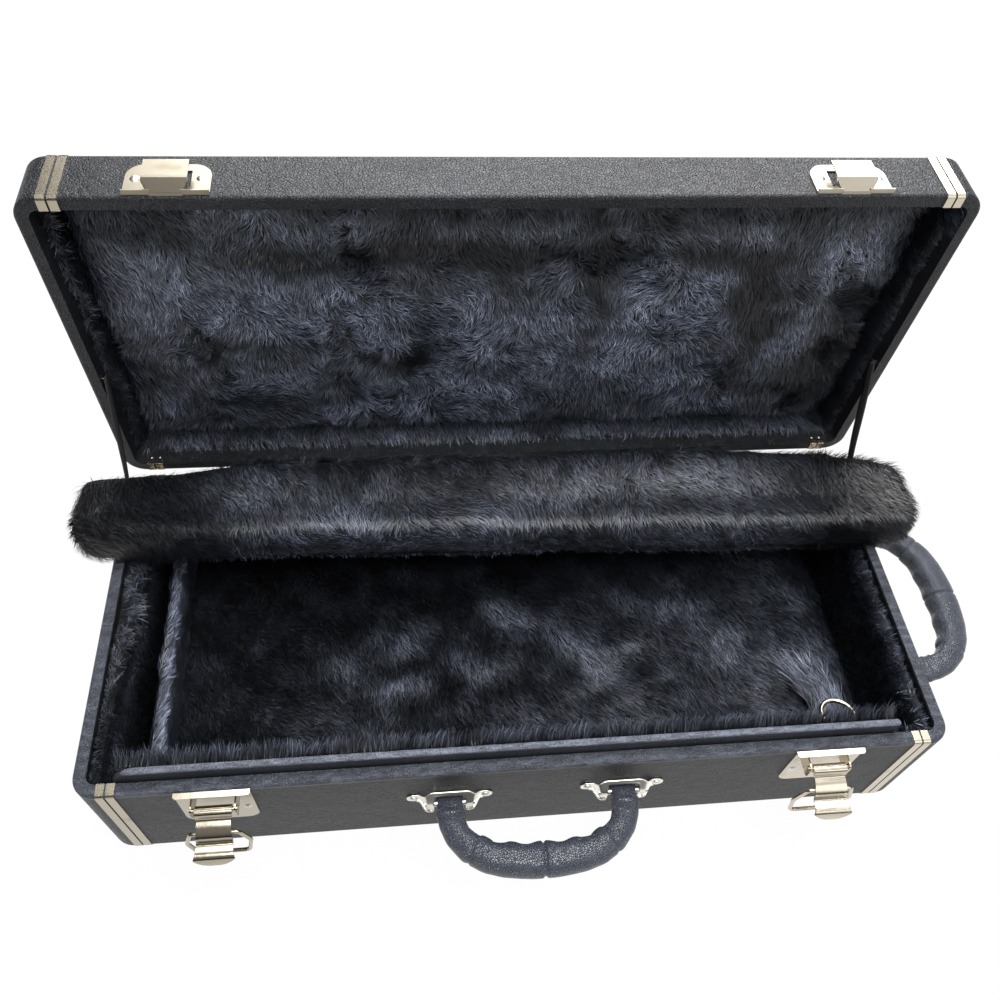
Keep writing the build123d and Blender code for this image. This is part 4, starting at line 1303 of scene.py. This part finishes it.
STRIPS = {
    # both edges of the skin that a fringe grows from, and its steps
    "lip_fringe": (((0.257, -0.1166, 0.094), (-0.271, -0.1166, 0.094)),
                   ((0.257, -0.1168, 0.1165), (-0.271, -0.1168, 0.1165)), 60),
    "end_fringe": (((0.2862, 0.112, 0.081), (0.2862, -0.100, 0.081)),
                   ((0.2866, 0.112, 0.0965), (0.2866, -0.100, 0.0965)), 30),
    "corner_tuft": (((0.246, -0.080, 0.024), (0.272, -0.080, 0.024)),
                    ((0.230, -0.040, 0.027), (0.262, -0.040, 0.027)), 12),
    "lid_corner_fringe": (((0.2911, 0.1375, 0.340), (0.2911, 0.1375, 0.368)),
                          ((0.2911, 0.1490, 0.340), (0.2911, 0.1490, 0.368)), 12),
    "bolster_ridge": (((-0.200, 0.0985, 0.1480), (0.258, 0.1005, 0.1490)),
                      ((-0.200, 0.1035, 0.1400), (0.258, 0.1065, 0.1400)), 50),
}
LIT_PILE_GAIN = 2.15  # how much paler the hairs are that catch the light
SEED_STEP = 17


class Plush:
    """What the padded linings share: their settings, the hair tree and the finishes."""

    def __init__(self, chosen):
        self.chosen = chosen
        self.tree = pile_tree()
        self.ground = plush_ground_finish()
        self.hair = pile_finish("plush_pile", chosen.root_colour, chosen.tip_colour)

    def pad(self, name, mesh, body, *nodes, fill):
        """A padded skin that stands for lining nodes."""
        made = dress(add_object(name, mesh, self.ground), "plush", body, *nodes)
        return made

    def pile(self, name, skin=None, finish=None):
        """The hairs of one lining, in as many pieces as keep each a sensible size."""
        chosen = self.chosen
        skin = skin or strip_skin(*STRIPS[name])
        body, comb, wander, patch, steep, flat, seed, length, tiles = PILES[name]
        places = points_of(skin)[:, 0]
        low, high = places.min() - 0.001, places.max() + 0.001
        values = {
            "Density": chosen.pile_density, "Length": chosen.pile_length * length,
            "Width": chosen.pile_width, "Comb": comb, "Wander": wander, "Patch Scale": patch,
            "Steep Lean": steep, "Flat Lean": flat, "Material": finish or self.hair,
        }
        made = []
        for tile in range(tiles):
            values["From X"] = low + (high - low) * tile / tiles
            values["To X"] = low + (high - low) * (tile + 1) / tiles
            values["Seed"] = chosen.seed + seed + tile * SEED_STEP
            hair = grow_pile("{}_{}".format(name, tile + 1), skin, self.tree, values)
            made.append(dress(hair, "plush", body))
        return made


def patch(x, y, z, wide, deep, tall, strength):
    """A brushed patch with a painted sheen, from millimetres: centre, reach along x, y and z, and
    strength.
    """
    return [part * MM for part in (x, y, z)], [part * MM for part in (wide, deep, tall)], strength


# Each row leaves out the axis that its surface hardly moves along, where the reach is metres.
# Each patch lays the pile flat and paints a sheen where the pile is lit; a negative strength paints
# shade.
FLOOR_BRUSH_AND_SHEEN = [patch(x, y, 0, wide, deep, 9000, strength) for x, y, wide, deep, strength in (
    (-82, 12, 24, 18, 0.75), (-125, -12, 24, 16, 0.40), (-80, -30, 24, 9, 0.85),
    (-18, -10, 20, 12, 0.70), (8, 26, 26, 12, 0.95), (42, 14, 22, 14, 0.95),
    (74, -12, 20, 18, 0.95), (106, -4, 14, 10, 0.35), (124, 42, 18, 12, 0.70),
    (152, 24, 20, 15, 0.95), (190, -2, 24, 20, 1.0), (20, -55, 60, 20, 0.25),
    (-120, -60, 50, 20, 0.25), (-80, 80, 60, 15, 0.25),
)]
LID_BRUSH_AND_SHEEN = [patch(x, 9000, z, wide, 99000, tall, strength) for x, z, wide, tall, strength in (
    (-150, 331, 45, 8, 0.80), (-90, 331, 30, 7, 0.80), (0, 329, 40, 8, 0.55),
    (160, 330, 60, 6, 0.50), (-235, 295, 36, 24, 0.60), (-185, 262, 48, 30, 0.80),
    (-105, 245, 42, 36, 0.95), (-235, 250, 30, 30, 0.50), (-25, 262, 22, 24, 0.85),
    (-20, 212, 32, 40, 0.90), (36, 250, 18, 36, 0.75), (36, 190, 24, 26, 0.75),
    (92, 245, 26, 40, 0.95), (140, 252, 34, 36, 1.05), (110, 190, 50, 24, 0.90),
    (215, 218, 24, 28, 0.70), (252, 302, 26, 24, 0.75), (-180, 178, 34, 26, 0.60),
    (-85, 170, 40, 22, 0.65), (0, 156, 50, 16, 0.70), (175, 146, 34, 9, 0.50),
    (-110, 140, 90, 8, 0.50), (60, 272, 6, 30, -0.60), (-64, 214, 12, 16, -0.80),
    (192, 255, 14, 50, -0.80), (0, 306, 190, 9, -0.40), (-190, 226, 30, 7, -0.45),
    (255, 200, 16, 60, -0.60),
)]
BOLSTER_BRUSH_AND_SHEEN = [patch(*row) for row in (
    (-130, 45, 130, 75, 22, 30, 1.0), (-40, 45, 128, 60, 20, 26, 0.9),
    (60, 66, 146, 55, 20, 30, 0.60), (160, 78, 146, 70, 14, 30, 0.80),
    (190, 25, 130, 35, 22, 30, 0.85), (110, 30, 125, 50, 18, 26, 0.70),
    (-200, 80, 146, 50, 16, 30, 0.40),
)]


def floor_marks(places):
    """The floor's brushed streaks and painted sheen, over a ground that lies flatter and is painted
    paler to the right.
    """
    ground = 0.06 + 0.42 * share(places[:, 0], -0.02, 0.24)
    return brushed(places, FLOOR_BRUSH_AND_SHEEN, seed=15, ground=ground, ragged=0.20)


class CASE_OT_plush(bpy.types.Operator):
    """Pad the linings and grow their pile."""

    bl_idname = "trumpet_case.plush"
    bl_label = "Plush linings"

    def execute(self, context):
        chosen = settings(context).plush
        plush = Plush(chosen)
        # Painted highlight: a paler copy of the hair finish for the linings that catch the light.
        pale = pile_finish("pale_pile", chosen.root_colour, tone(chosen.tip_colour, LIT_PILE_GAIN))

        floor = even_pad("body_floor_lining", voxel=0.004, uneven=0.002, seed=5,
                         is_open=lambda facing: facing[:, 2] > 0.35)
        mark(floor, "brushed", floor_marks(points_of(floor)))
        plush.pad("floor_padding", floor, "case_body", "body_floor_lining", fill=0.7)
        plush.pile("floor_pile", floor)

        walls = ring_pad(BODY_WALL, body_wall_depths, body_wall_marks, uneven=0.0014, crown=0.004,
                         seed=21)
        plush.pad("wall_padding", walls, "case_body", "body_wall_lining", fill=0.6)
        plush.pile("wall_pile", walls)
        plush.pile("lip_fringe")
        plush.pile("end_fringe")
        plush.pile("corner_tuft", finish=pale)

        divider = even_pad("end_divider_cover", voxel=0.002, uneven=0.0008, seed=8,
                           is_open=lambda facing: facing[:, 2] > -0.5)
        # Painted highlight: the divider's pile is brushed paler along its top.
        mark(divider, "brushed", share(points_of(divider)[:, 2], 0.036, 0.048) * 0.8 + 0.25)
        plush.pad("divider_padding", divider, "case_body", "end_divider_cover", fill=0.6)
        plush.pile("divider_pile", divider, pale)

        panel = even_pad("lid_panel_lining", voxel=0.004, uneven=0.0018, seed=9,
                         is_open=lambda facing: facing[:, 1] < -0.6)
        mark(panel, "brushed", brushed(points_of(panel), LID_BRUSH_AND_SHEEN, seed=25, ground=0.16))
        plush.pad("lid_panel_padding", panel, "lid", "lid_panel_lining", fill=0.7)
        plush.pile("lid_panel_pile", panel, pale)

        walls = lid_wall_pad()
        plush.pad("lid_wall_padding", walls, "lid", "lid_wall_lining", fill=0.6)
        plush.pile("lid_corner_fringe")
        plush.pile("lid_wall_pile", walls)
        return {"FINISHED"}


class CASE_OT_bolster(bpy.types.Operator):
    """Model the loose bolster and its pile."""

    bl_idname = "trumpet_case.bolster"
    bl_label = "Bolster"

    def execute(self, context):
        plush = Plush(settings(context).plush)
        paint(foam_finish(), "bolster_core")
        skin = bolster_skin()
        places = points_of(skin)
        # Painted shade: the ends are left nearly unbrushed, so their pile stands up and stays dark.
        ends = share(np.abs(places[:, 0]), 0.20, 0.25)
        marks = brushed(places, BOLSTER_BRUSH_AND_SHEEN, seed=35, ground=0.22) * (1.0 - 0.92 * ends)
        mark(skin, "brushed", marks)
        pad = plush.pad("bolster_padding", skin, "bolster", "bolster_cover",
                        "bolster_end_padding", fill=0.8)
        ridge = strip_skin(*STRIPS["bolster_ridge"])
        move_points(ridge, lay_bolster(points_of(ridge)))
        hairs = plush.pile("bolster_pile", skin) + plush.pile("bolster_ridge", ridge)
        for piece in [pad] + hairs:
            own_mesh(piece)
        return {"FINISHED"}


class CASE_OT_straps(bpy.types.Operator):
    """Model the two stay straps and finish the ring's tab."""

    bl_idname = "trumpet_case.straps"
    bl_label = "Straps"

    def execute(self, context):
        tape = ribbon_finish()
        paint(tape, "lining_ring_tab")
        for side, sign in (("left", -1), ("right", 1)):
            name = side + "_strap_tape"
            strap = add_object(name, strap_mesh(name, sign), tape)
            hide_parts("stay_strap_" + side)
            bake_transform(strap)
        return {"FINISHED"}


LAMPS = (
    # name, place, what it points at, size
    ("key", (0.10, -0.50, 1.75), (0.0, 0.05, 0.15), (1.2, 0.8)),
    ("top", (0.20, 0.50, 1.80), (0.0, 0.0, 0.1), (1.6, 0.8)),
    ("back", (0.30, 1.60, 1.25), (0.0, 0.1, 0.3), (2.0, 1.0)),
    ("fill", (1.3, -1.2, 1.0), (0.1, 0.0, 0.1), (1.0, 1.0)),
)
CAMERA_PLACE = (-0.07742, -0.34782, 0.70390)
CAMERA_TURN = (36.686, -3.446, -5.146)
SENSOR = 36.0
FLOOR_HALF = 6
FLOOR_DROP = 0.0005  # keeps the floor just under the case
WHITE = (1.0, 1.0, 1.0)


def lamp(name, place, target, size, power):
    data = bpy.data.lights.new(name, "AREA")
    data.shape = "RECTANGLE"
    data.size, data.size_y = size
    data.energy = power
    made = bpy.data.objects.new(name, data)
    bpy.context.scene.collection.objects.link(made)
    made.location = place
    aim = Vector(target) - Vector(place)
    made.rotation_euler = aim.to_track_quat("-Z", "Y").to_euler()
    made.visible_camera = False


def camera(lens):
    data = bpy.data.cameras.new("camera")
    data.sensor_width = SENSOR
    data.lens = lens
    data.clip_start = 0.01
    data.clip_end = 60.0
    made = bpy.data.objects.new("camera", data)
    bpy.context.scene.collection.objects.link(made)
    made.location = CAMERA_PLACE
    made.rotation_euler = [math.radians(angle) for angle in CAMERA_TURN]
    return made


def seen_by(graph, *kinds):
    """1 where the ray is of one of these kinds."""
    path = graph.add("ShaderNodeLightPath")
    wires = [graph.wire(path, "Is {} Ray".format(kind)) for kind in kinds]
    return functools.reduce(Wire.high, wires)


def room(strength):
    """An even pale room that shiny parts see with more contrast, brighter above and right."""
    world = bpy.data.worlds.new("room")
    world.use_nodes = True
    graph = Graph(world.node_tree)
    graph.tree.nodes.clear()
    seen = seen_by(graph, "Camera", "Transmission")
    glossy = seen_by(graph, "Glossy")
    across, _deep, height = graph.axes(graph.add("ShaderNodeTexCoord").outputs["Generated"])
    contrast = (0.10 + 1.9 * height.between(0.15, 0.75)) * (0.5 + across.between(-0.4, 0.5))
    light = (1.0 - seen) * strength * (1.0 - glossy + glossy * contrast)
    glow = graph.add("ShaderNodeBackground", None, {"Color": WHITE, "Strength": seen + light})
    graph.add("ShaderNodeOutputWorld", None, {0: glow.outputs[0]})
    return world


def backdrop_finish():
    """Matte white that the camera and mirrors see as plain white."""
    material = bpy.data.materials.new("white_backdrop")
    material.use_nodes = True
    graph = Graph(material.node_tree)
    graph.tree.nodes.clear()
    seen = seen_by(graph, "Camera", "Glossy", "Transmission")
    matte = graph.add("ShaderNodeBsdfDiffuse", None, {"Color": (0.8, 0.8, 0.8)}).outputs[0]
    glow = graph.add("ShaderNodeEmission", None, {"Color": WHITE, "Strength": 1.0}).outputs[0]
    both = graph.add("ShaderNodeMixShader", None, {0: seen * 0.97, 1: matte, 2: glow}).outputs[0]
    graph.add("ShaderNodeOutputMaterial", None, {0: both})
    return material


class CASE_OT_stage(bpy.types.Operator):
    """Set the camera, the lamps, the room light and the floor."""

    bl_idname = "trumpet_case.stage"
    bl_label = "Stage"

    def execute(self, context):
        chosen = settings(context).stage
        scene = context.scene
        scene.camera = camera(chosen.lens)
        scene.view_settings.view_transform = "Standard"
        scene.world = room(chosen.sky)
        for name, place, target, size in LAMPS:
            lamp(name + "_lamp", place, target, size, getattr(chosen, name + "_power"))
        far = FLOOR_HALF
        corners = ((-far, -far, 0), (far, -far, 0), (far, far, 0), (-far, far, 0))
        floor = add_object("floor", mesh_of("floor", corners, [range(4)]), backdrop_finish())
        floor.location.z = -FLOOR_DROP
        return {"FINISHED"}


OPERATORS = (
    CASE_OT_shell, CASE_OT_fittings, CASE_OT_grips, CASE_OT_plush, CASE_OT_bolster,
    CASE_OT_straps, CASE_OT_stage,
)


class CASE_PT_panel(bpy.types.Panel):
    """Lists the pieces of the case in the sidebar."""

    bl_idname = "CASE_PT_panel"
    bl_label = "Trumpet Case"
    bl_space_type = "VIEW_3D"
    bl_region_type = "UI"
    bl_category = "Trumpet Case"

    def draw(self, context):
        chosen = settings(context)
        for part in CaseSettings.__annotations__:
            group = getattr(chosen, part)
            box = self.layout.box()
            box.label(text=part.capitalize())
            for name in group.__annotations__:
                box.prop(group, name)
        for operator in OPERATORS:
            self.layout.operator(operator.bl_idname)


GROUPS = (ShellSettings, MetalSettings, PlushSettings, GripSettings, StageSettings, CaseSettings)
CLASSES = GROUPS + OPERATORS + (CASE_PT_panel,)


def register():
    for made in CLASSES:
        bpy.utils.register_class(made)
    bpy.types.Scene.trumpet_case = bpy.props.PointerProperty(
        type=CaseSettings, name="Trumpet case", description="Sizes and colours of the case",
    )


def unregister():
    del bpy.types.Scene.trumpet_case
    for made in reversed(CLASSES):
        bpy.utils.unregister_class(made)


def main():
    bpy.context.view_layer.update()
    register()
    for operator in OPERATORS:
        group, name = operator.bl_idname.split(".")
        getattr(getattr(bpy.ops, group), name)()


if __name__ == "__main__":
    main()
